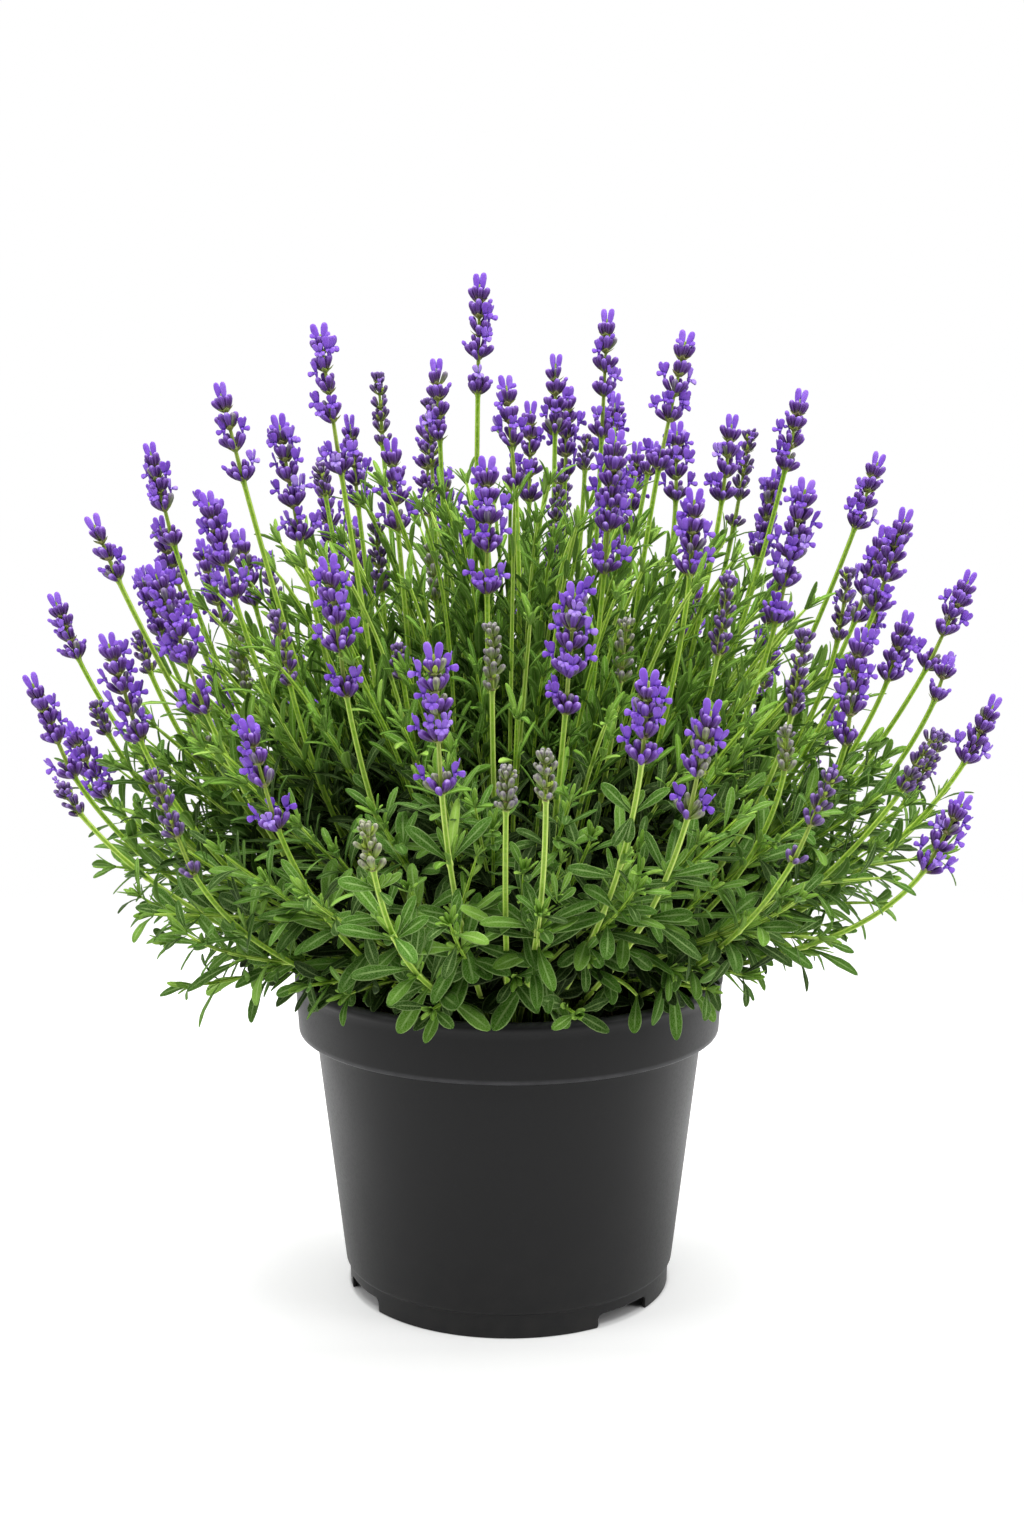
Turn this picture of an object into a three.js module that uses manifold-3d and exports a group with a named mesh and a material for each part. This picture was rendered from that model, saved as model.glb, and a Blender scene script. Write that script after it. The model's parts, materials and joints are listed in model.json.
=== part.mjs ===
// Potted lavender: a bushy lavender in a 230 mm nursery pot.
// Millimetres, +Z up. The origin is on the pot's axis, on the surface that the pot stands on.
// The front of the plant faces -Y.
import * as THREE from 'three';
import { mergeVertices } from 'three/addons/utils/BufferGeometryUtils.js';
import Module from 'manifold-3d';

// ---- driving dimensions -------------------------------------------------
const POT_H = 174.5;            // overall height of the pot
const RIM_R = 115.0;            // outer radius of the rim at its widest
const RIM_R_LOW = 113.4;        // outer radius of the rim band at its lower edge
const RIM_Z = 142.6;            // underside of the rim band
const LIP_BEVEL = 3.5;          // height of the bevel at the lip
const BODY_R_TOP = 104.4;       // outer radius of the tapered body under the rim
const BODY_R_LOW = 89.4;        // outer radius of the body above the foot ring
const BODY_Z_LOW = 14.4;
const WALL = 2.1;               // wall thickness
const FOOT_R = 87.2;            // outer radius of the foot ring
const FOOT_H = 9.0;             // the floor stands this far above the ground
const FLOOR_T = 2.5;            // floor thickness
const NOTCH_DEG = [-46, 26, 206, 134];   // bearings of the drainage notches from +X, towards +Y
const NOTCH_W = 36.0;           // notch width along the foot ring
const NOTCH_H = 7.5;            // notch height
const NOTCH_FILLET = 3.0;
const DRAIN_R = 7.0;            // central drainage hole in the floor
const SLOT_L = 30.0;            // drainage slot in the floor behind each notch
const SLOT_W = 8.0;
const SLOT_R = 76.0;            // distance of the slots from the axis
const POT_SIDES = 44;           // facets of the turned pot

const SOIL_Z = 158.0;           // top of the compost
const GAP = 0.4;                // clearance between the compost and the pot
const TRUNK_R = 12.6;           // woody base of the plant
const SOCKET_R = 13.2;          // the trunk's socket in the compost
const SOCKET_Z = 138.0;

const STALK_W = 2.9;            // across the flats of the square flower stalk
const SPIKE_R = 9.6;            // radius of a full flower spike
const WHORL_PITCH = 13.0;       // spacing of the spike's bulges
const SHOOT_W = 2.5;            // leafy shoot's stem
const LEAF_T = 1.1;             // leaf thickness

// Each flower stem: [spike width factor, start, first handle, second handle, foot of the spike, tip].
const FLOWER_STEMS = [
  [1, [-21, -21.5, 160.3], [-17.6, -16.5, 282.8], [-17.9, -12.5, 373.3], [-15.8, -13.7, 483], [-14.7, -15, 539.3]],
  [0.95, [31.9, 20.6, 160.3], [40.7, 25.6, 274.2], [44.8, 26, 358.5], [49.8, 30.7, 460.6], [52.6, 34, 524.6]],
  [1.15, [-40.6, -22.5, 160.3], [-59.1, -32.7, 267.3], [-70.7, -38.9, 346.5], [-84.3, -46.6, 442.8], [-93.8, -52, 512.4]],
  [1.1, [43.4, -3.8, 160.3], [58.8, -5.3, 267.8], [60.8, -6, 348.4], [78.2, -7.2, 444], [91.8, -8, 510.9]],
  [1, [-24.8, 27.8, 160.3], [-31, 34.5, 272.2], [-32.7, 35, 355.1], [-37.2, 41.1, 455.3], [-39.2, 44, 499.4]],
  [1, [-51.3, -20.9, 160.3], [-86.3, -35.2, 264.9], [-109.6, -45, 343.1], [-132.8, -54.2, 439.5], [-142.7, -58, 483.7]],
  [1.05, [55.4, 12.7, 160.3], [95.6, 21.7, 264.5], [125.1, 27.9, 342], [148.4, 33.7, 439.4], [157.4, 36, 482.8]],
  [0.95, [63.9, 13.9, 160.3], [118.6, 26, 250.1], [155.2, 34.5, 319.5], [188, 41.3, 408.1], [201.5, 44, 448.9]],
  [0.95, [-62.4, 7.8, 160.3], [-114.2, 14.1, 248.9], [-154.5, 18.5, 315.2], [-180.1, 22.2, 403.5], [-191.9, 24, 454.7]],
  [1.1, [23.7, -37.9, 160.3], [33.5, -53.6, 249], [40.5, -64.4, 314.6], [47, -75.1, 394.7], [51.9, -83.2, 460.8]],
  [1.2, [-4.4, -46.3, 160.3], [-7, -67.5, 245.8], [-10.2, -83.8, 308.8], [-10.5, -97.4, 386.4], [-10.3, -107.2, 448.1]],
  [0.9, [-65.9, -16, 163], [-121.6, -40.9, 242.3], [-157.8, -60.4, 305.3], [-191.9, -72.3, 387.2], [-204, -76, 419.5]],
  [1, [-51.1, -27, 160.3], [-88.3, -46.9, 242], [-114.9, -61.5, 303.5], [-136.1, -72.3, 382.3], [-147.4, -78, 431.1]],
  [1.15, [49.8, -29.8, 160.3], [85.8, -50.7, 237.4], [114.5, -66, 294.8], [131.8, -77.4, 370.4], [143.8, -86, 437.5]],
  [1, [61.6, -22.7, 160.3], [115, -42.3, 237], [155.6, -56.6, 295.6], [182.5, -67, 376], [195, -72, 422.8]],
  [0.95, [-73.4, 13.5, 160.3], [-144.9, 26.6, 216.9], [-200.6, 36.8, 263.2], [-236.8, 43.5, 337], [-250.4, 46, 373]],
  [1.2, [-55.7, -29.8, 160.3], [-97.4, -53.1, 218.6], [-127.3, -71.4, 264.1], [-150.1, -82.4, 326.6], [-171.7, -92, 397.1]],
  [1.15, [-28.7, -50.2, 160.3], [-49.8, -86.1, 225.5], [-67.2, -113.9, 274.5], [-76.4, -131.6, 340.7], [-82.8, -144.9, 403.7]],
  [1.2, [10.3, -57.7, 160.3], [17.2, -100.1, 223.2], [21.4, -133.5, 270.6], [26.1, -153.9, 335.5], [29.9, -168, 393.3]],
  [0.95, [73, 3.6, 160.3], [139.7, 6.9, 219], [187.7, 9.5, 267.8], [224.9, 11.1, 338.1], [246.4, 12, 387.1]],
  [1.1, [-61.5, -26.2, 160.3], [-114.5, -48.6, 208.7], [-158.8, -66.8, 246.4], [-182.4, -77.3, 308.6], [-196.8, -84, 362.7]],
  [1.15, [-9.9, -67.1, 160.3], [-18.6, -124.7, 207.4], [-26.1, -173, 244], [-29.7, -198.5, 305.8], [-32.2, -217.1, 370.7]],
  [1.1, [56.2, -27.4, 160.3], [104.8, -49.1, 208.7], [152.8, -66.3, 244], [166.8, -76.7, 306], [172, -84, 365.1]],
  [0.9, [-66.9, 1.3, 160.3], [-133.3, -19.4, 198.3], [-190.9, -39.4, 226.5], [-223.8, -47.6, 288.9], [-242.6, -51.4, 339]],
  [1.2, [18.4, -66.4, 160.3], [35.6, -126.9, 210.9], [51.5, -177.4, 250.3], [57.7, -204.6, 316.9], [59.9, -216.7, 359.2]],
  [1.15, [27.7, -61.5, 160.3], [50.8, -114.7, 201.5], [68.5, -159.8, 234.3], [80.7, -183.5, 292.1], [89.1, -198.1, 344.1]],
  [1.05, [-37.4, -53.9, 160.3], [-67.8, -99.3, 198.1], [-91.5, -138.5, 228.2], [-107.2, -158.1, 282.1], [-118.4, -170.5, 332.6]],
  [1.05, [-51.7, -43.6, 160.3], [-92.4, -79.3, 189.9], [-129.3, -114.9, 206.6], [-150.9, -130.7, 255], [-166.8, -140.7, 304.4]],
  [1.05, [45.4, -51.1, 160.3], [82.2, -95.4, 191.8], [110.2, -137, 215.4], [132.6, -156, 266.2], [147.6, -166, 308.3]],
  [0.85, [69.6, -14.7, 162.4], [139.6, -20.9, 200.8], [199.8, -25.9, 228.8], [236.4, -29.5, 290.3], [251.9, -31.1, 325.4]],
  [1, [57.9, -34.1, 163.2], [113.3, -55.4, 195.6], [172.1, -79.6, 196.2], [205.1, -90.5, 245.7], [223.7, -96, 285.1]],
  [1, [65, 23.6, 160.3], [121.8, 44.3, 214.5], [163.9, 59.7, 258.7], [194.2, 70.7, 323.7], [212.4, 77.3, 372]],
  [1, [49.3, 51.1, 160.3], [91.8, 95, 197.2], [124.3, 128.7, 229.8], [147.2, 152.5, 284.4], [163.9, 169.8, 335]],
  [1, [21.7, 59.6, 160.3], [39.4, 108.2, 238.4], [52.3, 143.7, 298.1], [61.8, 169.7, 377.2], [67, 184.2, 430]],
  [1, [-4.8, 68.2, 160.3], [-8.8, 126, 206], [-11.8, 169.1, 244.2], [-14, 200.2, 302.4], [-15.5, 221.5, 352]],
  [1, [-30.6, 57.5, 160.3], [-55.7, 104.8, 228.2], [-74.2, 139.6, 280.9], [-87.6, 164.7, 352.9], [-96.2, 181, 410]],
  [1, [-54.7, 45.9, 160.3], [-102.3, 85.9, 196.4], [-138.9, 116.5, 228.6], [-164.9, 138.3, 283.3], [-182.3, 153, 330]],
  [1, [-64.2, 23.4, 160.3], [-120.3, 43.8, 220], [-161.6, 58.8, 267.8], [-191.4, 69.7, 336.3], [-208.6, 75.9, 385]],
  [1, [5.1, 48.6, 160.3], [7.9, 75, 258.6], [10.2, 97.2, 330.6], [11.7, 111.6, 420.5], [12.5, 119.3, 478]],
];

// Each leafy shoot: [start, first handle, second handle, tip, leaves], and each leaf:
// [place along the shoot 0..1, bearing round the shoot, opening angle, length, width].
const LEAFY_SHOOTS = [
  [[-35.7, -45.7, 160.3], [-52.7, -67.5, 195.1], [-76.2, -97.5, 191.7], [-97.3, -124.5, 196],
    [[0.45, 0.88, 0.89, 33.49, 8.5], [0.45, 2.8, 0.83, 33.49, 8.5], [0.68, 1.87, 0.75, 31.27, 8.5], [0.68, 5.01, 0.75, 31.27, 8.5], [0.9, 0.3, 0.75, 29.04, 8.5], [0.9, 3.44, 0.75, 29.04, 8.5], [0.98, 0.6, 0.12, 28.2, 8.5]]],
  [[-14, -56.3, 160.3], [-20.1, -80.7, 192], [-28.7, -115.2, 186.1], [-36.3, -145.5, 190],
    [[0.45, -0.54, 0.3, 33.49, 8.5], [0.45, 3.44, 0.75, 33.49, 8.5], [0.68, 1.87, 0.75, 31.27, 8.5], [0.68, 5.01, 0.75, 31.27, 8.5], [0.9, 0.3, 0.75, 29.04, 8.5], [0.9, 3.44, 0.75, 29.04, 8.5], [0.98, 0.6, 0.12, 28.2, 8.5]]],
  [[-4.1, -51, 160.3], [1.6, -77.1, 193.8], [24.6, -110.7, 183.1], [31.8, -143, 187.3],
    [[0.45, 0.69, 0.78, 33.49, 8.5], [0.45, 2.67, 1.02, 33.49, 8.5], [0.68, 1.87, 0.75, 31.27, 8.5], [0.68, 5.01, 0.75, 31.27, 8.5], [0.9, 0.3, 0.75, 29.04, 8.5], [0.9, 3.44, 0.75, 29.04, 8.5], [0.98, 0.6, 0.12, 28.2, 8.5]]],
  [[35.7, -45.7, 160.3], [52.3, -67, 194.2], [75.4, -96.6, 189.8], [96, -122.9, 194],
    [[0.45, 0.3, 0.75, 33.49, 8.5], [0.45, 3.44, 0.75, 33.49, 8.5], [0.68, 1.87, 0.75, 31.27, 8.5], [0.68, 5.01, 0.75, 31.27, 8.5], [0.9, 0.3, 0.75, 29.04, 8.5], [0.9, 3.44, 0.75, 29.04, 8.5], [0.98, 0.6, 0.12, 28.2, 8.5]]],
  [[49.9, -15, 160.3], [81.8, -23.8, 201.9], [125.9, -34.6, 198.2], [165.5, -45.4, 203.4],
    [[0.45, 0.3, 0.75, 33.49, 8.5], [0.45, 3.44, 0.75, 33.49, 8.5], [0.68, 1.87, 0.75, 31.27, 8.5], [0.68, 5.01, 0.75, 31.27, 8.5], [0.9, 0.3, 0.75, 29.04, 8.5], [0.9, 3.44, 0.75, 29.04, 8.5], [0.98, 0.6, 0.12, 28.2, 8.5]]],
  [[-56.7, -1.2, 160.3], [-91.2, -9.6, 204.9], [-130.2, -31.7, 212.9], [-173, -42.1, 218.4],
    [[0.45, 0.3, 0.75, 33.49, 8.5], [0.45, 3.44, 0.75, 33.49, 8.5], [0.68, 1.87, 0.75, 31.27, 8.5], [0.68, 5.01, 0.75, 31.27, 8.5], [0.9, 0.3, 0.75, 29.04, 8.5], [0.9, 3.44, 0.75, 29.04, 8.5], [0.98, 0.6, 0.12, 28.2, 8.5]]],
  [[57.7, 6.1, 160.3], [113.7, 12, 214.1], [204.7, 21.5, 208.4], [234.7, 24.7, 262],
    [[0.5, 0.3, 0.75, 33, 8.5], [0.5, 3.44, 0.75, 33, 8.5], [0.7, 1.87, 0.75, 31.02, 8.5], [0.7, 5.01, 0.75, 31.02, 8.5], [0.9, 0.3, 0.75, 29.04, 8.5], [0.9, 3.44, 0.75, 29.04, 8.5], [0.98, 0.6, 0.12, 28.2, 8.5]]],
  [[-59.6, 14.3, 160.3], [-117.1, 26.5, 217.9], [-208.9, 45.5, 217.2], [-240.1, 52.3, 273.8],
    [[0.5, 0.3, 0.75, 33, 8.5], [0.5, 3.44, 0.75, 33, 8.5], [0.7, 1.87, 0.75, 31.02, 8.5], [0.7, 5.01, 0.75, 31.02, 8.5], [0.9, 0.3, 0.75, 29.04, 8.5], [0.9, 3.44, 0.75, 29.04, 8.5], [0.98, 0.6, 0.12, 28.2, 8.5]]],
  [[44.4, 37.3, 160.3], [67.6, 56.7, 198.3], [97.7, 82, 200.3], [126.4, 106.1, 205],
    [[0.45, 0.3, 0.75, 33.49, 8.5], [0.45, 3.44, 0.75, 33.49, 8.5], [0.68, 1.87, 0.75, 31.27, 8.5], [0.68, 5.01, 0.75, 31.27, 8.5], [0.9, 0.3, 0.75, 29.04, 8.5], [0.9, 3.44, 0.75, 29.04, 8.5], [0.98, 0.6, 0.12, 28.2, 8.5]]],
  [[15, 56, 160.3], [22.4, 83.6, 196.2], [32.3, 120.4, 195.5], [41.4, 154.5, 200],
    [[0.45, 0.3, 0.75, 33.49, 8.5], [0.45, 3.44, 0.75, 33.49, 8.5], [0.68, 1.87, 0.75, 31.27, 8.5], [0.68, 5.01, 0.75, 31.27, 8.5], [0.9, 0.3, 0.75, 29.04, 8.5], [0.9, 3.44, 0.75, 29.04, 8.5], [0.98, 0.6, 0.12, 28.2, 8.5]]],
  [[-19.8, 54.5, 160.3], [-29.4, 80.7, 195.3], [-42.2, 116, 193.6], [-54, 148.5, 198],
    [[0.45, 0.3, 0.75, 33.49, 8.5], [0.45, 3.44, 0.75, 33.49, 8.5], [0.68, 1.87, 0.75, 31.27, 8.5], [0.68, 5.01, 0.75, 31.27, 8.5], [0.9, 0.3, 0.75, 29.04, 8.5], [0.9, 3.44, 0.75, 29.04, 8.5], [0.98, 0.6, 0.12, 28.2, 8.5]]],
  [[-47.5, 33.3, 160.3], [-72.8, 51, 199.2], [-106.2, 74.4, 200.2], [-137.6, 96.4, 205],
    [[0.45, 0.3, 0.75, 33.49, 8.5], [0.45, 2.6, 0.93, 33.49, 8.5], [0.68, 1.87, 0.75, 31.27, 8.5], [0.68, 5.01, 0.75, 31.27, 8.5], [0.9, 0.3, 0.75, 29.04, 8.5], [0.9, 3.44, 0.75, 29.04, 8.5], [0.98, 0.6, 0.12, 28.2, 8.5]]],
  [[-11.6, -24.7, 160.3], [-17.5, -63.3, 221.2], [-23.5, -119.7, 255.3], [-28.8, -147.1, 305],
    [[0.5, 0.3, 0.75, 29, 5.5], [0.5, 3.44, 0.75, 29, 5.5], [0.7, 1.87, 0.75, 27.26, 5.5], [0.7, 5.01, 0.75, 27.26, 5.5], [0.9, 0.3, 0.75, 25.52, 5.5], [0.9, 3.44, 0.75, 25.52, 5.5], [0.98, 0.6, 0.12, 24.78, 5.5]]],
  [[-30.6, -25.7, 160.3], [-58.3, -48.9, 228.2], [-92.1, -77.3, 277.1], [-114.9, -96.4, 330],
    [[0.5, 0.3, 0.75, 29, 5.5], [0.5, 3.44, 0.75, 29, 5.5], [0.7, 1.87, 0.75, 27.26, 5.5], [0.7, 5.01, 0.75, 27.26, 5.5], [0.9, 0.3, 0.75, 25.52, 5.5], [0.9, 3.44, 0.75, 25.52, 5.5], [0.98, 0.6, 0.12, 24.78, 5.5]]],
  [[30.6, -25.7, 160.3], [58.4, -49, 229.9], [91.6, -76.9, 281], [114.9, -96.4, 335],
    [[0.5, 0.3, 0.75, 29, 5.5], [0.5, 3.44, 0.75, 29, 5.5], [0.7, 1.87, 0.75, 27.26, 5.5], [0.7, 5.01, 0.75, 27.26, 5.5], [0.9, 0.3, 0.75, 25.52, 5.5], [0.9, 3.44, 0.75, 25.52, 5.5], [0.98, 0.6, 0.12, 24.78, 5.5]]],
  [[42.7, 5.1, 160.3], [69.2, 18.2, 249.2], [77.3, 29.5, 329.7], [111.2, 42.5, 394.2],
    [[0.5, 0.3, 0.75, 29, 5.5], [0.5, 3.44, 0.75, 29, 5.5], [0.7, 1.87, 0.75, 27.26, 5.5], [0.7, 5.01, 0.75, 27.26, 5.5], [0.9, 0.3, 0.75, 25.52, 5.5], [0.9, 3.44, 0.75, 25.52, 5.5], [0.98, 0.6, 0.12, 24.78, 5.5]]],
  [[0, 40, 160.3], [0, 77, 235], [0, 117.7, 292.7], [0, 150, 350],
    [[0.5, 0.3, 0.75, 29, 5.5], [0.5, 3.44, 0.75, 29, 5.5], [0.7, 1.87, 0.75, 27.26, 5.5], [0.7, 5.01, 0.75, 27.26, 5.5], [0.9, 0.3, 0.75, 25.52, 5.5], [0.9, 3.44, 0.75, 25.52, 5.5], [0.98, 0.6, 0.12, 24.78, 5.5]]],
  [[-34.6, 20, 160.3], [-63.4, 36.6, 251.8], [-80, 46.2, 333.1], [-112.6, 65, 400],
    [[0.5, 0.3, 0.75, 29, 5.5], [0.5, 3.44, 0.75, 29, 5.5], [0.7, 1.87, 0.75, 27.26, 5.5], [0.7, 5.01, 0.75, 27.26, 5.5], [0.9, 0.3, 0.75, 25.52, 5.5], [0.9, 3.44, 0.75, 25.52, 5.5], [0.98, 0.6, 0.12, 24.78, 5.5]]],
];

// ---- solids ----------------------------------------------------------------
const wasm = await Module();
wasm.setup();

function solid(geometry, matrix) {
  const g = geometry.clone();
  g.deleteAttribute('normal');
  g.deleteAttribute('uv');
  if (matrix) g.applyMatrix4(matrix);
  const m = mergeVertices(g, 1e-4);
  const index = m.index.array;
  const position = m.attributes.position.array;
  const keep = [];
  for (let i = 0; i < index.length; i += 3) {
    const [a, b, c] = [index[i], index[i + 1], index[i + 2]];
    if (a !== b && b !== c && c !== a) keep.push(a, b, c);
  }
  return new wasm.Manifold(new wasm.Mesh({
    numProp: 3,
    vertProperties: new Float32Array(position),
    triVerts: new Uint32Array(keep),
  }));
}

function part(name, manifold, material) {
  const out = manifold.getMesh();
  const g = new THREE.BufferGeometry();
  g.setAttribute('position', new THREE.BufferAttribute(new Float32Array(out.vertProperties), 3));
  g.setIndex(new THREE.BufferAttribute(new Uint32Array(out.triVerts), 1));
  g.computeVertexNormals();
  const mesh = new THREE.Mesh(g, material);
  mesh.name = name;
  return mesh;
}

// A turned solid about +Z from [radius, height] points, given from the bottom of the
// axis outwards and up the outside.
function turned(profile, sides, phase = 0) {
  const g = new THREE.LatheGeometry(profile.map(([r, z]) => new THREE.Vector2(r, z)), sides, phase);
  g.rotateX(Math.PI / 2);
  return g;
}

function flat(material) {
  return new THREE.MeshStandardMaterial(material);
}

const potPlastic = flat({ color: 0x2b2b2d, roughness: 0.5, metalness: 0 });
const compostMat = flat({ color: 0x2a1f17, roughness: 1, metalness: 0 });
const barkMat = flat({ color: 0x6d5a44, roughness: 0.9, metalness: 0 });
const flowerMat = flat({ color: 0x5a41a8, roughness: 0.7, metalness: 0 });
const leafMat = flat({ color: 0x55733f, roughness: 0.75, metalness: 0 });

const plant = new THREE.Group();

// ---- pot ---------------------------------------------------------------------
{
  const inner = BODY_R_TOP - WALL + 0.5;
  const profile = [
    [0, FOOT_H],
    [FOOT_R - 2.6, FOOT_H],
    [FOOT_R - 2.4, 0],
    [FOOT_R - 0.4, 0],
    [FOOT_R, 0.6],
    [FOOT_R + 0.4, 12.6],
    [BODY_R_LOW, BODY_Z_LOW],
    [BODY_R_TOP, RIM_Z],
    [RIM_R_LOW, RIM_Z],
    [RIM_R, POT_H - LIP_BEVEL],
    [RIM_R - 1.9, POT_H],
    [RIM_R - 3.0, POT_H],
    [RIM_R_LOW - 2.2, RIM_Z + 2.9],
    [inner, RIM_Z + 2.1],
    [BODY_R_LOW - WALL - 0.4, BODY_Z_LOW - 1.0],
    [BODY_R_LOW - WALL - 1.8, FOOT_H + FLOOR_T],
    [0, FOOT_H + FLOOR_T],
  ];
  let pot = solid(turned(profile, POT_SIDES));

  // drainage notches with rounded upper corners
  const w = NOTCH_W / 2, h = NOTCH_H, f = NOTCH_FILLET;
  const notch = new THREE.Shape();
  notch.moveTo(-w - 1.2, -2);
  notch.lineTo(w + 1.2, -2);
  notch.lineTo(w + 1.2, 0);
  notch.lineTo(w, 1.4);
  notch.lineTo(w, h - f);
  notch.absarc(w - f, h - f, f, 0, Math.PI / 2, false);
  notch.lineTo(-w + f, h);
  notch.absarc(-w + f, h - f, f, Math.PI / 2, Math.PI, false);
  notch.lineTo(-w, 1.4);
  notch.lineTo(-w - 1.2, 0);
  const cutter = new THREE.ExtrudeGeometry(notch, { depth: 16, bevelEnabled: false, curveSegments: 2 });
  // slots through the floor behind the notches
  const slotShape = new THREE.Shape();
  const sl = SLOT_L / 2 - SLOT_W / 2, sr = SLOT_W / 2;
  slotShape.moveTo(-sl, -sr);
  slotShape.lineTo(sl, -sr);
  slotShape.absarc(sl, 0, sr, -Math.PI / 2, Math.PI / 2, false);
  slotShape.lineTo(-sl, sr);
  slotShape.absarc(-sl, 0, sr, Math.PI / 2, 3 * Math.PI / 2, false);
  const slot = new THREE.ExtrudeGeometry(slotShape, { depth: FLOOR_T + 4, bevelEnabled: false, curveSegments: 2 });
  for (const deg of NOTCH_DEG) {
    const a = THREE.MathUtils.degToRad(deg);
    const radial = new THREE.Vector3(Math.cos(a), Math.sin(a), 0);
    const tangent = new THREE.Vector3(-Math.sin(a), Math.cos(a), 0);
    const up = new THREE.Vector3(0, 0, 1);
    // local x along the ring, local y up, extrusion along the radius
    const m = new THREE.Matrix4().makeBasis(tangent, up, tangent.clone().cross(up));
    const out = tangent.clone().cross(up).dot(radial);
    m.setPosition(radial.clone().multiplyScalar(out > 0 ? FOOT_R - 9 : FOOT_R + 7));
    pot = pot.subtract(solid(cutter, m));
    const s = new THREE.Matrix4().makeBasis(tangent, radial.clone().negate(), up);
    s.setPosition(radial.x * SLOT_R, radial.y * SLOT_R, FOOT_H - 2);
    pot = pot.subtract(solid(slot, s));
  }
  const hole = new THREE.CylinderGeometry(DRAIN_R, DRAIN_R, FLOOR_T + 4, 12);
  hole.rotateX(Math.PI / 2);
  hole.translate(0, 0, FOOT_H + FLOOR_T / 2);
  pot = pot.subtract(solid(hole));
  plant.add(part('pot', pot, potPlastic));
}

// ---- compost -----------------------------------------------------------------
{
  const low = FOOT_H + FLOOR_T + GAP;
  const profile = [
    [0, low],
    [BODY_R_LOW - WALL - 2.3, low],
    [BODY_R_LOW - WALL - 1.0, BODY_Z_LOW - 0.6],
    [BODY_R_TOP - WALL - 0.1, RIM_Z + 2.6],
    [RIM_R_LOW - 2.9, RIM_Z + 3.5],
    [RIM_R_LOW - 2.9, SOIL_Z - 1.0],
    [SOCKET_R, SOIL_Z],
    [SOCKET_R, SOCKET_Z],
    [0, SOCKET_Z],
  ];
  plant.add(part('compost', solid(turned(profile, POT_SIDES)), compostMat));
}

// ---- woody crown ---------------------------------------------------------------
{
  const trunk = turned([
    [0, SOCKET_Z + 0.4],
    [TRUNK_R, SOCKET_Z + 0.4],
    [TRUNK_R, SOIL_Z + 3],
    [TRUNK_R - 4, SOIL_Z + 17],
    [0, SOIL_Z + 20],
  ], 10);
  let crown = solid(trunk);
  const knot = new THREE.Shape();
  for (let i = 0; i < 5; i++) {
    const a = (i * 2 * Math.PI) / 5;
    const r = 3.6;
    if (i === 0) knot.moveTo(r * Math.cos(a), r * Math.sin(a));
    else knot.lineTo(r * Math.cos(a), r * Math.sin(a));
  }
  for (const deg of [20, 92, 164, 236, 308]) {
    const a = THREE.MathUtils.degToRad(deg);
    const c = Math.cos(a), s = Math.sin(a);
    const path = new THREE.CatmullRomCurve3([
      new THREE.Vector3(2.5 * c, 2.5 * s, SOIL_Z + 2),
      new THREE.Vector3(7 * c, 7 * s, SOIL_Z + 14),
      new THREE.Vector3(12 * c, 12 * s, SOIL_Z + 24),
      new THREE.Vector3(14 * c, 14 * s, SOIL_Z + 36),
    ]);
    crown = crown.add(solid(new THREE.ExtrudeGeometry(knot, { steps: 4, bevelEnabled: false, extrudePath: path })));
  }
  plant.add(part('woody_crown', crown, barkMat));
}

// ---- stalks, spikes and leaves ---------------------------------------------------
const V = (p) => new THREE.Vector3(p[0], p[1], p[2]);

function square(width) {
  const h = width / 2;
  const s = new THREE.Shape();
  s.moveTo(-h, -h);
  s.lineTo(h, -h);
  s.lineTo(h, h);
  s.lineTo(-h, h);
  return s;
}

function stalk(points, width, steps) {
  const path = new THREE.CatmullRomCurve3(points);
  return solid(new THREE.ExtrudeGeometry(square(width), { steps, bevelEnabled: false, extrudePath: path }));
}

// A spike is turned: a bulge at each whorl of flowers and a waist between whorls.
function spike(foot, tip, radius) {
  const axis = V(tip).sub(V(foot));
  const height = axis.length();
  const whorls = Math.max(3, Math.round(height / WHORL_PITCH));
  const pitch = height / whorls;
  const profile = [[0, -1.5]];
  for (let k = 0; k < whorls; k++) {
    const taper = k === whorls - 1 ? 0.62 : 1 - 0.22 * (k / whorls) ** 2;
    profile.push([radius * 0.42 * taper, (k + 0.02) * pitch]);
    profile.push([radius * taper, (k + (k === whorls - 1 ? 0.45 : 0.62)) * pitch]);
  }
  profile.push([0, height]);
  const q = new THREE.Quaternion().setFromUnitVectors(new THREE.Vector3(0, 0, 1), axis.clone().normalize());
  const m = new THREE.Matrix4().compose(V(foot), q, new THREE.Vector3(1, 1, 1));
  return solid(turned(profile, 5), m);
}

FLOWER_STEMS.forEach(([factor, p0, p1, p2, p3, tip], k) => {
  const curve = new THREE.CubicBezierCurve3(V(p0), V(p1), V(p2), V(p3));
  const points = curve.getPoints(6);
  points.push(V(p3).lerp(V(tip), 0.2));
  const stem = stalk(points, STALK_W, 6).add(spike(p3, tip, SPIKE_R * factor));
  plant.add(part(`flower_stem_${String(k + 1).padStart(2, '0')}`, stem, flowerMat));
});

// A leaf: a lance-shaped blade that starts inside the stem.
function leaf(length, width) {
  const s = new THREE.Shape();
  const h = width / 2;
  s.moveTo(-0.6, -0.8);
  s.lineTo(length * 0.68, -h);
  s.lineTo(length, 0);
  s.lineTo(length * 0.68, h);
  s.lineTo(-0.6, 0.8);
  const g = new THREE.ExtrudeGeometry(s, { depth: LEAF_T, bevelEnabled: false });
  g.translate(0, 0, -LEAF_T / 2);
  return g;
}

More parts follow.
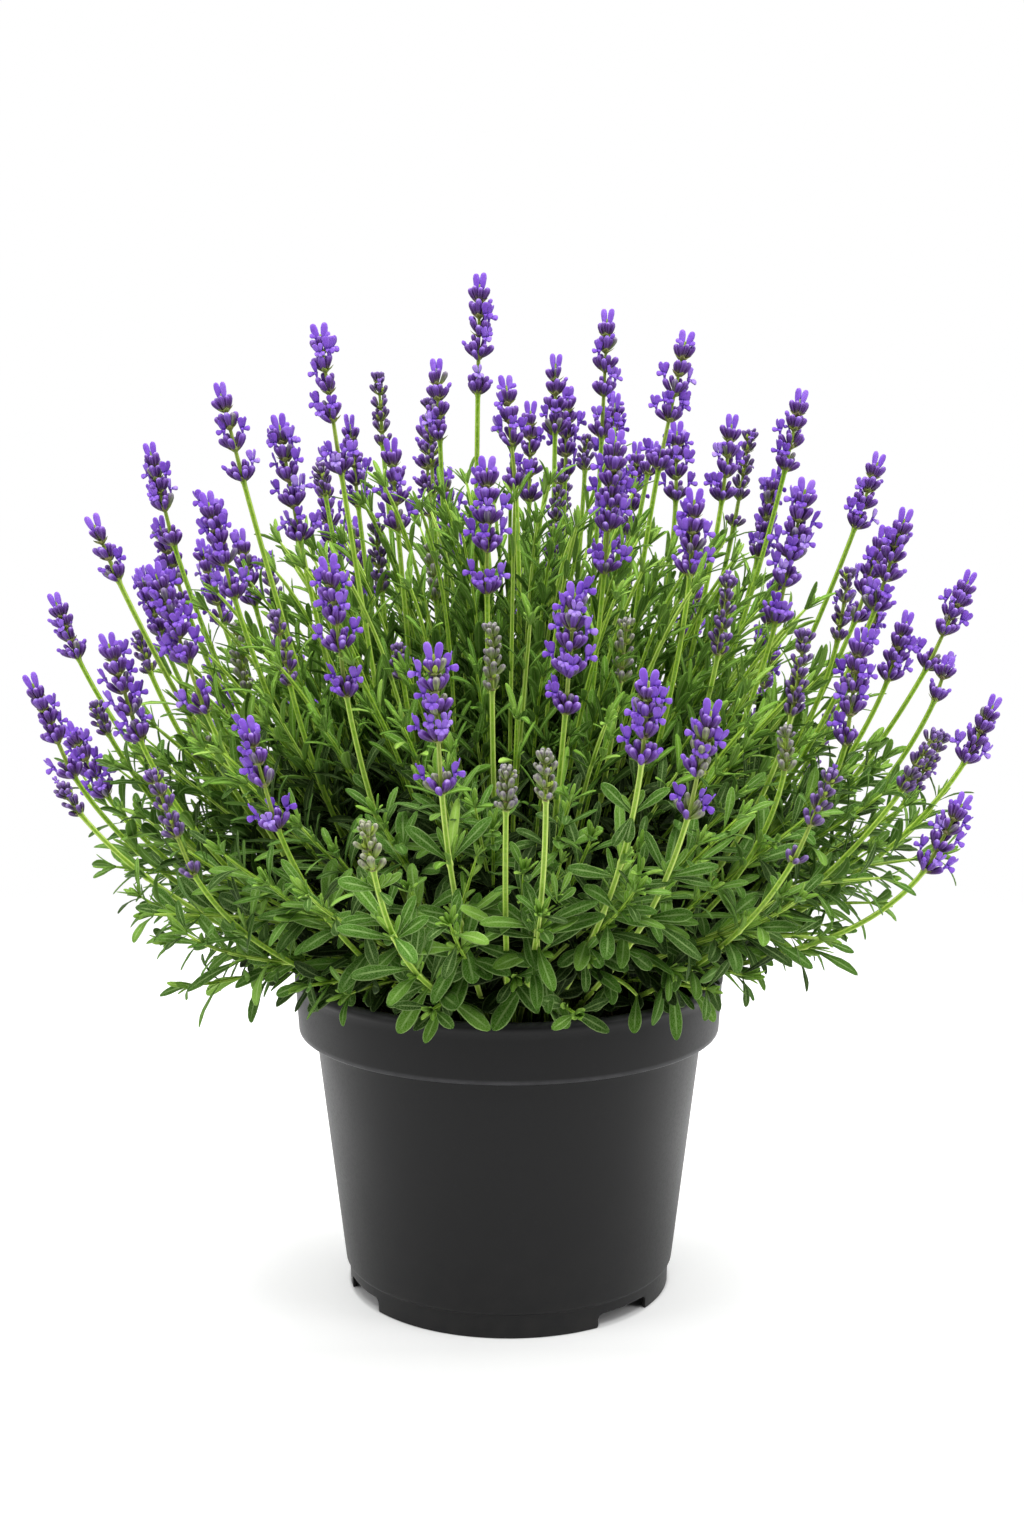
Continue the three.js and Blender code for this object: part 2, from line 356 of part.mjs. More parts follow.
LEAFY_SHOOTS.forEach(([p0, p1, p2, p3, leaves], k) => {
  const curve = new THREE.CubicBezierCurve3(V(p0), V(p1), V(p2), V(p3));
  let shoot = stalk(curve.getPoints(6), SHOOT_W, 6);
  for (const [t, bearing, opening, length, width] of leaves) {
    const at = curve.getPoint(t);
    const d = curve.getPoint(Math.min(t + 0.02, 1)).sub(curve.getPoint(Math.max(t - 0.02, 0))).normalize();
    const ref = Math.abs(d.z) < 0.9 ? new THREE.Vector3(0, 0, 1) : new THREE.Vector3(Math.cos(1), Math.sin(1), 0);
    const x = ref.clone().cross(d).normalize();
    const y = d.clone().cross(x);
    const side = x.multiplyScalar(Math.cos(bearing)).add(y.multiplyScalar(Math.sin(bearing)));
    const along = d.clone().multiplyScalar(Math.cos(opening)).add(side.clone().multiplyScalar(Math.sin(opening))).normalize();
    const across = d.clone().cross(side).normalize();
    const normal = along.clone().cross(across);
    const m = new THREE.Matrix4().makeBasis(along, across, normal);
    m.setPosition(at);
    shoot = shoot.add(solid(leaf(length, width), m));
  }
  plant.add(part(`leafy_shoot_${String(k + 1).padStart(2, '0')}`, shoot, leafMat));
});

export default plant;
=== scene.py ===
import bpy, bmesh, math, json
import numpy as np
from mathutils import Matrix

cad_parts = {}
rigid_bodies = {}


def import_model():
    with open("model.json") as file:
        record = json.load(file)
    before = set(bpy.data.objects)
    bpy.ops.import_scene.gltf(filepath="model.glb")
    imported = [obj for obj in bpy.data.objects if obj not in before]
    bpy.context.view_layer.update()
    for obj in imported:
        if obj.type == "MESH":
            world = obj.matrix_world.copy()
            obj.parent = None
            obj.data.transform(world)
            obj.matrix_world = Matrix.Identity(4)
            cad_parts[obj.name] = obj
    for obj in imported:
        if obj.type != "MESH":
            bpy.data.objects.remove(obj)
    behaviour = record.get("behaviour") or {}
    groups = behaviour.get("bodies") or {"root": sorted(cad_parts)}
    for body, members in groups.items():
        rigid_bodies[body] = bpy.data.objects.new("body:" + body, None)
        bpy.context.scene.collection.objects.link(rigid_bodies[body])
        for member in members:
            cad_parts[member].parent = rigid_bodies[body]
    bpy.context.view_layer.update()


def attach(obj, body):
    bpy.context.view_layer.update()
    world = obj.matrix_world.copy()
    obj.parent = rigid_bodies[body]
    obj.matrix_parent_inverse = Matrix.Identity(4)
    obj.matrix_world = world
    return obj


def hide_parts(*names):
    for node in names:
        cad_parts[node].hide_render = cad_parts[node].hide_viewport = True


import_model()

MM = 0.001
SEED = 4127

# ---------------------------------------------------------------- driving dimensions (millimetres)
POT_SIDES = 224
RIM_R, RIM_Z = 115.0, 174.5
SOIL_Z = 158.0
CALYX_L, CALYX_W = 8.3, 3.6
UPPER_LOBE = (5.7, 3.9)
LOWER_LOBE = (3.5, 2.8)
EAR = (8.2, 3.5, 2.0)
STALK_R_TOP, STALK_R_LOW = 1.30, 1.62
LIMIT_X, LIMIT_YF, LIMIT_YB = 266.0, 234.0, 236.0

# flower stems: node or None, kind, width factor, share of the head above the separate whorl, curve points P0 P1 P2 P3 and tip
STEMS = [
    ('flower_stem_01', 'v', 1.0, 0.761, [[-21.0,-21.5,160.3],[-17.6,-16.5,282.8],[-17.9,-12.5,373.3],[-15.8,-13.7,483.0],[-14.7,-15.0,539.3]]),
    ('flower_stem_02', 'v', 0.95, 0.713, [[31.9,20.6,160.3],[40.7,25.6,274.2],[44.8,26.0,358.5],[49.8,30.7,460.6],[52.6,34.0,524.6]]),
    ('flower_stem_03', 'b', 1.15, 0.687, [[-40.6,-22.5,160.3],[-59.1,-32.7,267.3],[-70.7,-38.9,346.5],[-84.3,-46.6,442.8],[-93.8,-52.0,512.4]]),
    ('flower_stem_04', 'b', 1.1, 0.683, [[43.4,-3.8,160.3],[58.8,-5.3,267.8],[60.8,-6.0,348.4],[78.2,-7.2,444.0],[91.8,-8.0,510.9]]),
    ('flower_stem_05', 'v', 1.0, 1.0, [[-24.8,27.8,160.3],[-31.0,34.5,272.2],[-32.7,35.0,355.1],[-37.2,41.1,455.3],[-39.2,44.0,499.4]]),
    ('flower_stem_06', 'v', 1.0, 0.757, [[-51.3,-20.9,160.3],[-86.3,-35.2,264.9],[-109.6,-45.0,343.1],[-132.8,-54.2,439.5],[-142.7,-58.0,483.7]]),
    ('flower_stem_07', 'v', 1.05, 1.0, [[55.4,12.7,160.3],[95.6,21.7,264.5],[125.1,27.9,342.0],[148.4,33.7,439.4],[157.4,36.0,482.8]]),
    ('flower_stem_08', 'v', 0.95, 1.0, [[63.9,13.9,160.3],[118.6,26.0,250.1],[155.2,34.5,319.5],[188.0,41.3,408.1],[201.5,44.0,448.9]]),
    ('flower_stem_09', 'v', 0.95, 0.711, [[-62.4,7.8,160.3],[-114.2,14.1,248.9],[-154.5,18.5,315.2],[-180.1,22.2,403.5],[-191.9,24.0,454.7]]),
    ('flower_stem_10', 'b', 1.1, 0.745, [[23.7,-37.9,160.3],[33.5,-53.6,249.0],[40.5,-64.4,314.6],[47.0,-75.1,394.7],[51.9,-83.2,460.8]]),
    ('flower_stem_11', 'b', 1.2, 0.731, [[-4.4,-46.3,160.3],[-7.0,-67.5,245.8],[-10.2,-83.8,308.8],[-10.5,-97.4,386.4],[-10.3,-107.2,448.1]]),
    ('flower_stem_12', 'v', 0.9, 1.0, [[-65.9,-16.0,163.0],[-121.6,-40.9,242.3],[-157.8,-60.4,305.3],[-191.9,-72.3,387.2],[-204.0,-76.0,419.5]]),
    ('flower_stem_13', 'b', 1.0, 0.742, [[-51.1,-27.0,160.3],[-88.3,-46.9,242.0],[-114.9,-61.5,303.5],[-136.1,-72.3,382.3],[-147.4,-78.0,431.1]]),
    ('flower_stem_14', 'b', 1.15, 0.78, [[49.8,-29.8,160.3],[85.8,-50.7,237.4],[114.5,-66.0,294.8],[131.8,-77.4,370.4],[143.8,-86.0,437.5]]),
    ('flower_stem_15', 'v', 1.0, 0.768, [[61.6,-22.7,160.3],[115.0,-42.3,237.0],[155.6,-56.6,295.6],[182.5,-67.0,376.0],[195.0,-72.0,422.8]]),
    ('flower_stem_16', 'v', 0.95, 1.0, [[-73.4,13.5,160.3],[-144.9,26.6,216.9],[-200.6,36.8,263.2],[-236.8,43.5,337.0],[-250.4,46.0,373.0]]),
    ('flower_stem_17', 'b', 1.2, 0.694, [[-55.7,-29.8,160.3],[-97.4,-53.1,218.6],[-127.3,-71.4,264.1],[-150.1,-82.4,326.6],[-171.7,-92.0,397.1]]),
    ('flower_stem_18', 'b', 1.15, 0.715, [[-28.7,-50.2,160.3],[-49.8,-86.1,225.5],[-67.2,-113.9,274.5],[-76.4,-131.6,340.7],[-82.8,-144.9,403.7]]),
    ('flower_stem_19', 'b', 1.2, 0.759, [[10.3,-57.7,160.3],[17.2,-100.1,223.2],[21.4,-133.5,270.6],[26.1,-153.9,335.5],[29.9,-168.0,393.3]]),
    ('flower_stem_20', 'v', 0.95, 0.697, [[73.0,3.6,160.3],[139.7,6.9,219.0],[187.7,9.5,267.8],[224.9,11.1,338.1],[246.4,12.0,387.1]]),
    ('flower_stem_21', 'b', 1.1, 1.0, [[-61.5,-26.2,160.3],[-114.5,-48.6,208.7],[-158.8,-66.8,246.4],[-182.4,-77.3,308.6],[-196.8,-84.0,362.7]]),
    ('flower_stem_22', 'p', 1.15, 0.688, [[-9.9,-67.1,160.3],[-18.6,-124.7,207.4],[-26.1,-173.0,244.0],[-29.7,-198.5,305.8],[-32.2,-217.1,370.7]]),
    ('flower_stem_23', 'b', 1.1, 1.0, [[56.2,-27.4,160.3],[104.8,-49.1,208.7],[152.8,-66.3,244.0],[166.8,-76.7,306.0],[172.0,-84.0,365.1]]),
    ('flower_stem_24', 'v', 0.9, 0.711, [[-66.9,1.3,160.3],[-133.3,-19.4,198.3],[-190.9,-39.4,226.5],[-223.8,-47.6,288.9],[-242.6,-51.4,339.0]]),
    ('flower_stem_25', 'b', 1.2, 1.0, [[18.4,-66.4,160.3],[35.6,-126.9,210.9],[51.5,-177.4,250.3],[57.7,-204.6,316.9],[59.9,-216.7,359.2]]),
    ('flower_stem_26', 'p', 1.15, 0.683, [[27.7,-61.5,160.3],[50.8,-114.7,201.5],[68.5,-159.8,234.3],[80.7,-183.5,292.1],[89.1,-198.1,344.1]]),
    ('flower_stem_27', 'b', 1.05, 0.652, [[-37.4,-53.9,160.3],[-67.8,-99.3,198.1],[-91.5,-138.5,228.2],[-107.2,-158.1,282.1],[-118.4,-170.5,332.6]]),
    ('flower_stem_28', 'f', 1.05, 0.682, [[-51.7,-43.6,160.3],[-92.4,-79.3,189.9],[-129.3,-114.9,206.6],[-150.9,-130.7,255.0],[-166.8,-140.7,304.4]]),
    ('flower_stem_29', 'f', 1.05, 0.647, [[45.4,-51.1,160.3],[82.2,-95.4,191.8],[110.2,-137.0,215.4],[132.6,-156.0,266.2],[147.6,-166.0,308.3]]),
    ('flower_stem_30', 'v', 0.85, 1.0, [[69.6,-14.7,162.4],[139.6,-20.9,200.8],[199.8,-25.9,228.8],[236.4,-29.5,290.3],[251.9,-31.1,325.4]]),
    ('flower_stem_31', 'b', 1.0, 1.0, [[57.9,-34.1,163.2],[113.3,-55.4,195.6],[172.1,-79.6,196.2],[205.1,-90.5,245.7],[223.7,-96.0,285.1]]),
    ('flower_stem_32', 'b', 1.0, 1.0, [[65.0,23.6,160.3],[121.8,44.3,214.5],[163.9,59.7,258.7],[194.2,70.7,323.7],[212.4,77.3,372.0]]),
    ('flower_stem_33', 'v', 1.0, 1.0, [[49.3,51.1,160.3],[91.8,95.0,197.2],[124.3,128.7,229.8],[147.2,152.5,284.4],[163.9,169.8,335.0]]),
    ('flower_stem_34', 'b', 1.0, 0.78, [[21.7,59.6,160.3],[39.4,108.2,238.4],[52.3,143.7,298.1],[61.8,169.7,377.2],[67.0,184.2,430.0]]),
    ('flower_stem_35', 'v', 1.0, 1.0, [[-4.8,68.2,160.3],[-8.8,126.0,206.0],[-11.8,169.1,244.2],[-14.0,200.2,302.4],[-15.5,221.5,352.0]]),
    ('flower_stem_36', 'b', 1.0, 1.0, [[-30.6,57.5,160.3],[-55.7,104.8,228.2],[-74.2,139.6,280.9],[-87.6,164.7,352.9],[-96.2,181.0,410.0]]),
    ('flower_stem_37', 'v', 1.0, 0.78, [[-54.7,45.9,160.3],[-102.3,85.9,196.4],[-138.9,116.5,228.6],[-164.9,138.3,283.3],[-182.3,153.0,330.0]]),
    ('flower_stem_38', 'b', 1.0, 1.0, [[-64.2,23.4,160.3],[-120.3,43.8,220.0],[-161.6,58.8,267.8],[-191.4,69.7,336.3],[-208.6,75.9,385.0]]),
    ('flower_stem_39', 'v', 1.0, 1.0, [[5.1,48.6,160.3],[7.9,75.0,258.6],[10.2,97.2,330.6],[11.7,111.6,420.5],[12.5,119.3,478.0]]),
    (None, 'v', 0.9, 1.0, [[15.9,33.9,160.3],[20.5,42.4,273.7],[23.5,43.2,357.6],[25.1,50.9,459.1],[25.6,54.4,502.0]]),
    (None, 'f', 0.85, 1.0, [[-32.0,32.7,160.3],[-47.9,48.3,271.0],[-61.6,58.0,352.6],[-69.7,69.5,452.6],[-72.3,74.1,493.6]]),
    (None, 'b', 0.95, 0.667, [[-2.4,-40.0,162.7],[0.6,-33.7,266.1],[9.3,-26.1,342.6],[3.1,-28.3,435.1],[-2.0,-30.7,488.0]]),
    (None, 'v', 0.9, 1.0, [[48.3,7.9,160.3],[75.5,12.1,259.7],[99.7,15.1,332.5],[113.2,18.0,423.8],[118.4,19.3,469.4]]),
    (None, 'b', 1.0, 1.0, [[-46.0,-18.9,160.3],[-71.0,-29.0,252.7],[-90.1,-36.3,320.9],[-105.2,-42.8,405.4],[-115.2,-47.2,468.4]]),
    (None, 'v', 1.0, 1.0, [[-33.7,-20.3,160.3],[-43.9,-26.3,255.0],[-49.6,-29.0,325.0],[-56.3,-33.6,410.0],[-59.8,-36.1,456.7]]),
    (None, 'b', 1.0, 1.0, [[39.3,26.0,160.3],[61.1,38.9,259.5],[86.8,48.1,331.7],[91.8,57.0,422.8],[92.2,61.0,466.2]]),
    (None, 'b', 1.1, 1.0, [[33.5,-39.9,160.3],[56.4,-65.2,246.5],[80.3,-83.8,309.8],[86.6,-98.4,391.3],[87.9,-104.9,433.1]]),
    (None, 'v', 0.9, 1.0, [[-53.2,14.1,160.3],[-90.4,23.8,236.3],[-119.1,31.2,293.0],[-138.1,36.4,366.6],[-146.8,38.8,408.2]]),
    (None, 'f', 1.0, 1.0, [[40.4,-33.5,160.3],[67.4,-55.2,230.8],[90.8,-72.2,282.8],[102.1,-83.2,351.3],[106.8,-88.5,391.6]]),
    (None, 'v', 0.95, 1.0, [[65.4,-7.0,160.3],[123.3,-13.2,218.5],[170.6,-18.0,263.3],[196.9,-21.0,332.1],[207.0,-22.2,368.5]]),
    (None, 'f', 0.95, 1.0, [[-40.6,-36.7,160.3],[-69.4,-62.5,224.9],[-92.4,-83.0,273.1],[-105.9,-95.4,338.0],[-111.9,-101.0,375.7]]),
    (None, 'f', 1.05, 1.0, [[46.9,-38.5,160.3],[86.0,-69.2,217.5],[122.2,-93.4,260.1],[135.5,-108.0,325.0],[140.3,-115.2,367.8]]),
    (None, 'v', 0.75, 1.0, [[68.9,-2.0,161.1],[135.7,-10.5,212.2],[192.1,-17.9,252.1],[221.5,-21.5,321.7],[228.4,-22.3,345.2]]),
    (None, 'f', 0.9, 1.0, [[52.8,-37.6,161.2],[113.2,-60.4,197.3],[158.0,-79.6,230.3],[192.6,-90.3,285.7],[208.4,-94.7,316.9]]),
    (None, 'f', 0.6, 1.0, [[-68.5,-23.8,162.5],[-129.8,-41.9,197.4],[-181.4,-59.8,220.6],[-218.0,-68.1,273.8],[-225.3,-69.5,287.3]]),
    (None, 'p', 0.85, 1.0, [[4.8,-67.3,160.3],[9.7,-129.6,204.2],[16.3,-183.2,238.4],[16.0,-210.0,301.2],[15.4,-216.9,325.3]]),
    (None, 'p', 0.8, 1.0, [[-0.3,-65.5,160.3],[-0.7,-124.5,202.5],[-2.2,-175.3,235.4],[-1.3,-200.7,295.1],[-0.8,-206.9,316.9]]),
    (None, 'g', 0.9, 1.0, [[-21.2,-62.8,163.8],[-36.0,-126.9,199.7],[-48.9,-194.4,212.9],[-58.2,-222.9,273.0],[-60.9,-229.4,295.9]]),
    (None, 'p', 0.7, 1.0, [[23.1,-43.0,160.3],[36.3,-67.9,227.2],[46.1,-88.1,276.7],[53.5,-100.4,340.0],[56.7,-105.5,372.7]]),
    (None, 'p', 0.75, 1.0, [[-3.1,-50.8,160.3],[-5.2,-82.6,226.3],[-7.7,-108.2,275.1],[-7.9,-123.6,338.9],[-7.9,-130.0,372.3]]),
    (None, 'f', 0.9, 1.0, [[20.5,28.3,160.3],[22.0,32.3,243.8],[18.1,30.9,305.7],[22.8,34.6,380.3],[27.6,38.0,439.3]]),
    (None, 'f', 0.8, 1.0, [[-38.2,-10.6,160.3],[-50.2,-13.8,242.6],[-58.5,-15.8,303.4],[-65.7,-18.0,377.5],[-68.9,-19.0,414.6]]),
    (None, 'p', 0.7, 1.0, [[-30.6,17.6,160.3],[-35.2,20.5,240.0],[-33.3,20.7,299.1],[-39.2,23.1,370.3],[-42.3,24.3,402.4]]),
    (None, 'f', 0.85, 1.0, [[59.8,-3.3,160.3],[109.5,-5.9,228.5],[155.0,-7.8,278.3],[172.3,-9.2,351.8],[177.5,-9.8,391.0]]),
    (None, 'p', 0.8, 1.0, [[-53.2,-3.9,160.3],[-90.6,-6.6,219.7],[-124.6,-8.6,263.1],[-138.1,-9.9,324.5],[-143.0,-10.5,362.4]]),
    (None, 'p', 0.75, 1.0, [[-51.8,-13.5,163.1],[-98.1,-21.8,205.9],[-136.4,-28.7,238.9],[-157.1,-32.5,291.8],[-164.1,-33.7,316.9]]),
    (None, 'p', 0.65, 1.0, [[43.5,-42.9,160.3],[81.7,-78.9,206.8],[122.1,-108.6,240.9],[130.5,-124.8,301.0],[130.8,-129.2,324.4]]),
    (None, 'f', 0.8, 1.0, [[18.1,45.7,160.3],[28.8,72.4,265.3],[37.6,91.7,342.8],[43.6,109.3,438.4],[44.8,113.0,460.0]]),
    (None, 'f', 0.8, 1.0, [[-41.7,27.4,160.3],[-67.2,44.1,260.7],[-86.1,56.4,334.9],[-101.9,66.9,426.9],[-104.6,68.8,444.4]]),
    (None, 'v', 0.85, 1.0, [[33.4,35.7,160.3],[52.1,56.5,265.0],[58.9,71.9,343.5],[78.2,85.5,437.6],[82.1,87.8,455.4]]),
    (None, 'f', 0.7, 1.0, [[-64.8,-10.2,162.2],[-118.7,-13.5,222.2],[-160.3,-15.6,268.7],[-186.9,-17.6,335.9],[-193.9,-18.3,358.9]]),
    (None, 'f', 0.6, 1.0, [[-74.8,-15.8,164.3],[-133.4,-25.9,212.2],[-179.0,-34.0,251.0],[-208.5,-38.9,312.4],[-213.1,-39.6,324.9]]),
    (None, 'f', 0.8, 1.0, [[27.3,41.1,160.3],[43.4,65.1,236.8],[57.0,83.6,293.3],[64.8,96.7,364.9],[67.6,102.0,398.8]]),
    (None, 'f', 0.7, 1.0, [[-18.6,-39.4,161.2],[-33.1,-52.2,229.2],[-44.9,-62.4,279.3],[-53.0,-69.9,341.5],[-54.7,-71.6,357.6]]),
    (None, 'f', 0.8, 1.0, [[-10.6,43.7,160.3],[-15.5,64.5,228.8],[-19.1,81.6,279.1],[-22.3,92.8,342.3],[-23.4,96.5,367.8]]),
    (None, 'f', 0.85, 1.0, [[65.7,9.7,160.8],[126.0,13.3,193.8],[179.9,15.9,211.7],[215.8,18.7,261.6],[237.1,20.5,300.0]]),
    (None, 'v', 1.0, 0.78, [[66.8,6.1,164.6],[120.3,14.6,234.5],[159.3,21.2,288.8],[187.9,25.2,362.4],[203.2,27.3,410.0]]),
    (None, 'b', 1.0, 1.0, [[51.6,27.4,160.3],[90.0,47.8,244.7],[118.3,62.9,307.9],[139.2,74.0,389.5],[150.1,79.8,440.0]]),
    (None, 'f', 0.85, 1.0, [[52.1,44.0,161.5],[101.4,76.7,193.8],[146.9,105.9,209.4],[176.0,126.2,258.1],[195.1,139.8,300.0]]),
    (None, 'v', 1.0, 0.78, [[50.4,32.2,161.3],[93.0,66.2,222.8],[124.1,91.7,271.1],[146.9,109.1,338.8],[160.5,119.3,388.0]]),
    (None, 'b', 1.0, 1.0, [[36.4,56.1,160.3],[67.4,103.8,216.0],[90.1,138.8,261.0],[106.7,164.3,325.4],[116.6,179.5,372.0]]),
    (None, 'v', 1.0, 1.0, [[27.3,47.3,160.3],[45.6,79.0,250.1],[59.6,103.2,316.7],[69.6,120.5,401.1],[75.0,129.9,455.0]]),
    (None, 'p', 0.85, 0.78, [[20.8,65.5,161.7],[43.5,120.3,194.1],[65.8,172.7,204.2],[79.3,207.0,252.1],[87.3,227.8,290.0]]),
    (None, 'f', 0.85, 1.0, [[11.8,55.3,160.3],[20.1,94.6,247.0],[26.3,123.9,311.6],[30.9,145.3,394.3],[33.3,156.5,445.0]]),
    (None, 'b', 1.0, 1.0, [[9.2,71.5,163.3],[18.0,126.7,193.9],[26.2,176.4,210.1],[31.3,209.4,256.3],[34.9,233.4,300.0]]),
    (None, 'v', 1.0, 0.78, [[2.2,62.2,160.3],[3.9,111.6,227.2],[5.2,147.6,278.9],[6.1,174.1,348.4],[6.6,189.9,398.0]]),
    (None, 'b', 1.0, 1.0, [[-13.1,56.6,160.3],[-22.6,98.0,243.6],[-29.7,128.6,306.1],[-34.9,151.1,386.5],[-37.8,163.7,440.0]]),
    (None, 'f', 0.85, 1.0, [[-11.6,66.4,160.7],[-28.2,123.3,193.1],[-44.4,175.7,207.5],[-53.7,210.5,256.0],[-59.3,232.6,296.0]]),
    (None, 'v', 1.0, 0.78, [[-19.0,47.1,160.3],[-30.3,74.9,256.4],[-39.3,97.3,327.1],[-45.5,112.6,415.7],[-48.7,120.5,470.0]]),
    (None, 'b', 1.0, 1.0, [[-41.3,56.9,160.3],[-77.0,106.0,197.6],[-104.1,143.3,230.5],[-123.6,170.1,285.0],[-136.4,187.7,330.0]]),
    (None, 'v', 1.0, 1.0, [[-37.6,44.8,160.3],[-65.3,77.9,242.4],[-85.8,102.3,304.0],[-100.9,120.3,383.6],[-109.3,130.2,436.0]]),
    (None, 'f', 0.85, 0.78, [[-46.0,46.0,160.3],[-84.5,84.5,223.1],[-112.6,112.6,272.5],[-133.2,133.2,340.8],[-145.0,145.0,388.0]]),
    (None, 'b', 1.0, 1.0, [[-56.4,32.6,160.3],[-103.6,59.8,227.1],[-138.0,79.7,279.3],[-163.2,94.2,350.7],[-177.5,102.5,400.0]]),
    (None, 'f', 0.85, 1.0, [[-61.9,26.7,163.3],[-113.0,54.0,194.9],[-164.1,82.0,199.4],[-196.8,98.8,245.6],[-218.1,109.5,285.0]]),
    (None, 'v', 1.0, 0.78, [[-62.4,12.9,161.2],[-112.9,24.7,234.9],[-149.8,33.5,291.5],[-176.9,39.7,367.2],[-191.3,42.9,415.0]]),
    (None, 'b', 1.0, 1.0, [[-72.8,10.0,163.5],[-131.6,12.1,195.6],[-182.9,13.2,215.5],[-217.4,15.2,264.6],[-239.4,16.8,305.0]]),
    (None, 'v', 1.0, 1.0, [[21.2,42.1,160.9],[25.6,62.2,264.4],[28.6,79.6,340.4],[31.7,89.8,434.2],[33.3,94.3,486.0]]),
    (None, 'f', 0.85, 0.78, [[-20.7,39.0,160.3],[-30.0,56.4,262.5],[-38.1,71.6,337.6],[-42.6,80.2,430.2],[-44.6,83.9,480.0]]),
    (None, 'b', 1.0, 1.0, [[17.3,39.1,160.6],[33.8,59.0,261.8],[49.3,76.2,335.9],[57.0,86.9,428.3],[60.3,92.0,482.0]]),
    (None, 'v', 1.0, 1.0, [[-43.6,36.5,161.0],[-60.4,52.6,258.4],[-73.8,65.8,330.0],[-84.1,75.3,418.5],[-89.4,80.0,470.0]]),
    (None, 'f', 0.85, 0.78, [[49.5,18.0,160.3],[81.2,29.5,255.0],[105.8,38.5,324.8],[123.3,44.9,412.8],[131.6,47.9,462.0]]),
]
# leafy shoots that stand in the frame: low or upright, curve points
SHOOTS = [
    ('leafy_shoot_01', True, [[-35.7,-45.7,160.3],[-52.7,-67.5,195.1],[-76.2,-97.5,191.7],[-97.3,-124.5,196.0]]),
    ('leafy_shoot_02', True, [[-14.0,-56.3,160.3],[-20.1,-80.7,192.0],[-28.7,-115.2,186.1],[-36.3,-145.5,190.0]]),
    ('leafy_shoot_03', True, [[-4.1,-51.0,160.3],[1.6,-77.1,193.8],[24.6,-110.7,183.1],[31.8,-143.0,187.3]]),
    ('leafy_shoot_04', True, [[35.7,-45.7,160.3],[52.3,-67.0,194.2],[75.4,-96.6,189.8],[96.0,-122.9,194.0]]),
    ('leafy_shoot_05', True, [[49.9,-15.0,160.3],[81.8,-23.8,201.9],[125.9,-34.6,198.2],[165.5,-45.4,203.4]]),
    ('leafy_shoot_06', True, [[-56.7,-1.2,160.3],[-91.2,-9.6,204.9],[-130.2,-31.7,212.9],[-173.0,-42.1,218.4]]),
    ('leafy_shoot_07', True, [[57.7,6.1,160.3],[113.7,12.0,214.1],[204.7,21.5,208.4],[234.7,24.7,262.0]]),
    ('leafy_shoot_08', True, [[-59.6,14.3,160.3],[-117.1,26.5,217.9],[-208.9,45.5,217.2],[-240.1,52.3,273.8]]),
    ('leafy_shoot_09', True, [[44.4,37.3,160.3],[67.6,56.7,198.3],[97.7,82.0,200.3],[126.4,106.1,205.0]]),
    ('leafy_shoot_10', True, [[15.0,56.0,160.3],[22.4,83.6,196.2],[32.3,120.4,195.5],[41.4,154.5,200.0]]),
    ('leafy_shoot_11', True, [[-19.8,54.5,160.3],[-29.4,80.7,195.3],[-42.2,116.0,193.6],[-54.0,148.5,198.0]]),
    ('leafy_shoot_12', True, [[-47.5,33.3,160.3],[-72.8,51.0,199.2],[-106.2,74.4,200.2],[-137.6,96.4,205.0]]),
    ('leafy_shoot_13', False, [[-11.6,-24.7,160.3],[-17.5,-63.3,221.2],[-23.5,-119.7,255.3],[-28.8,-147.1,305.0]]),
    ('leafy_shoot_14', False, [[-30.6,-25.7,160.3],[-58.3,-48.9,228.2],[-92.1,-77.3,277.1],[-114.9,-96.4,330.0]]),
    ('leafy_shoot_15', False, [[30.6,-25.7,160.3],[58.4,-49.0,229.9],[91.6,-76.9,281.0],[114.9,-96.4,335.0]]),
    ('leafy_shoot_16', False, [[42.7,5.1,160.3],[69.2,18.2,249.2],[77.3,29.5,329.7],[111.2,42.5,394.2]]),
    ('leafy_shoot_17', False, [[0.0,40.0,160.3],[0.0,77.0,235.0],[0.0,117.7,292.7],[0.0,150.0,350.0]]),
    ('leafy_shoot_18', False, [[-34.6,20.0,160.3],[-63.4,36.6,251.8],[-80.0,46.2,333.1],[-112.6,65.0,400.0]]),
]

# ---------------------------------------------------------------- vectors and curves
def unit(v):
    v = np.asarray(v, float)
    return v / np.maximum(np.linalg.norm(v, axis=-1, keepdims=True), 1e-12)

def bezier(P, t):
    t = np.asarray(t, float)[:, None]
    return ((1 - t) ** 3) * P[0] + 3 * ((1 - t) ** 2) * t * P[1] + 3 * (1 - t) * t * t * P[2] + (t ** 3) * P[3]

class Path:
    """A polyline with its arc length, asked by distance."""
    def __init__(self, pts):
        self.p = np.asarray(pts, float)
        seg = np.linalg.norm(np.diff(self.p, axis=0), axis=1)
        self.s = np.concatenate([[0], np.cumsum(seg)])
        self.length = self.s[-1]
    def at(self, s):
        s = np.clip(np.atleast_1d(s), 0, self.length)
        return np.stack([np.interp(s, self.s, self.p[:, k]) for k in range(3)], -1)
    def dir(self, s, h=2.0):
        s = np.clip(np.atleast_1d(s), 0, self.length)
        return unit(self.at(np.minimum(s + h, self.length)) - self.at(np.maximum(s - h, 0)))

def frames(D, hint):
    """Side and normal for directions D, with the normal as near to hint as it can be."""
    D = unit(D)
    hint = np.broadcast_to(np.asarray(hint, float), D.shape)
    N = hint - (hint * D).sum(-1, keepdims=True) * D
    bad = np.linalg.norm(N, axis=-1) < 1e-3
    if bad.any():
        alt = np.broadcast_to(np.array([0.3, 0.9, 0.2]), D.shape)
        N = np.where(bad[..., None], alt - (alt * D).sum(-1, keepdims=True) * D, N)
    N = unit(N)
    return np.cross(N, D), N, D

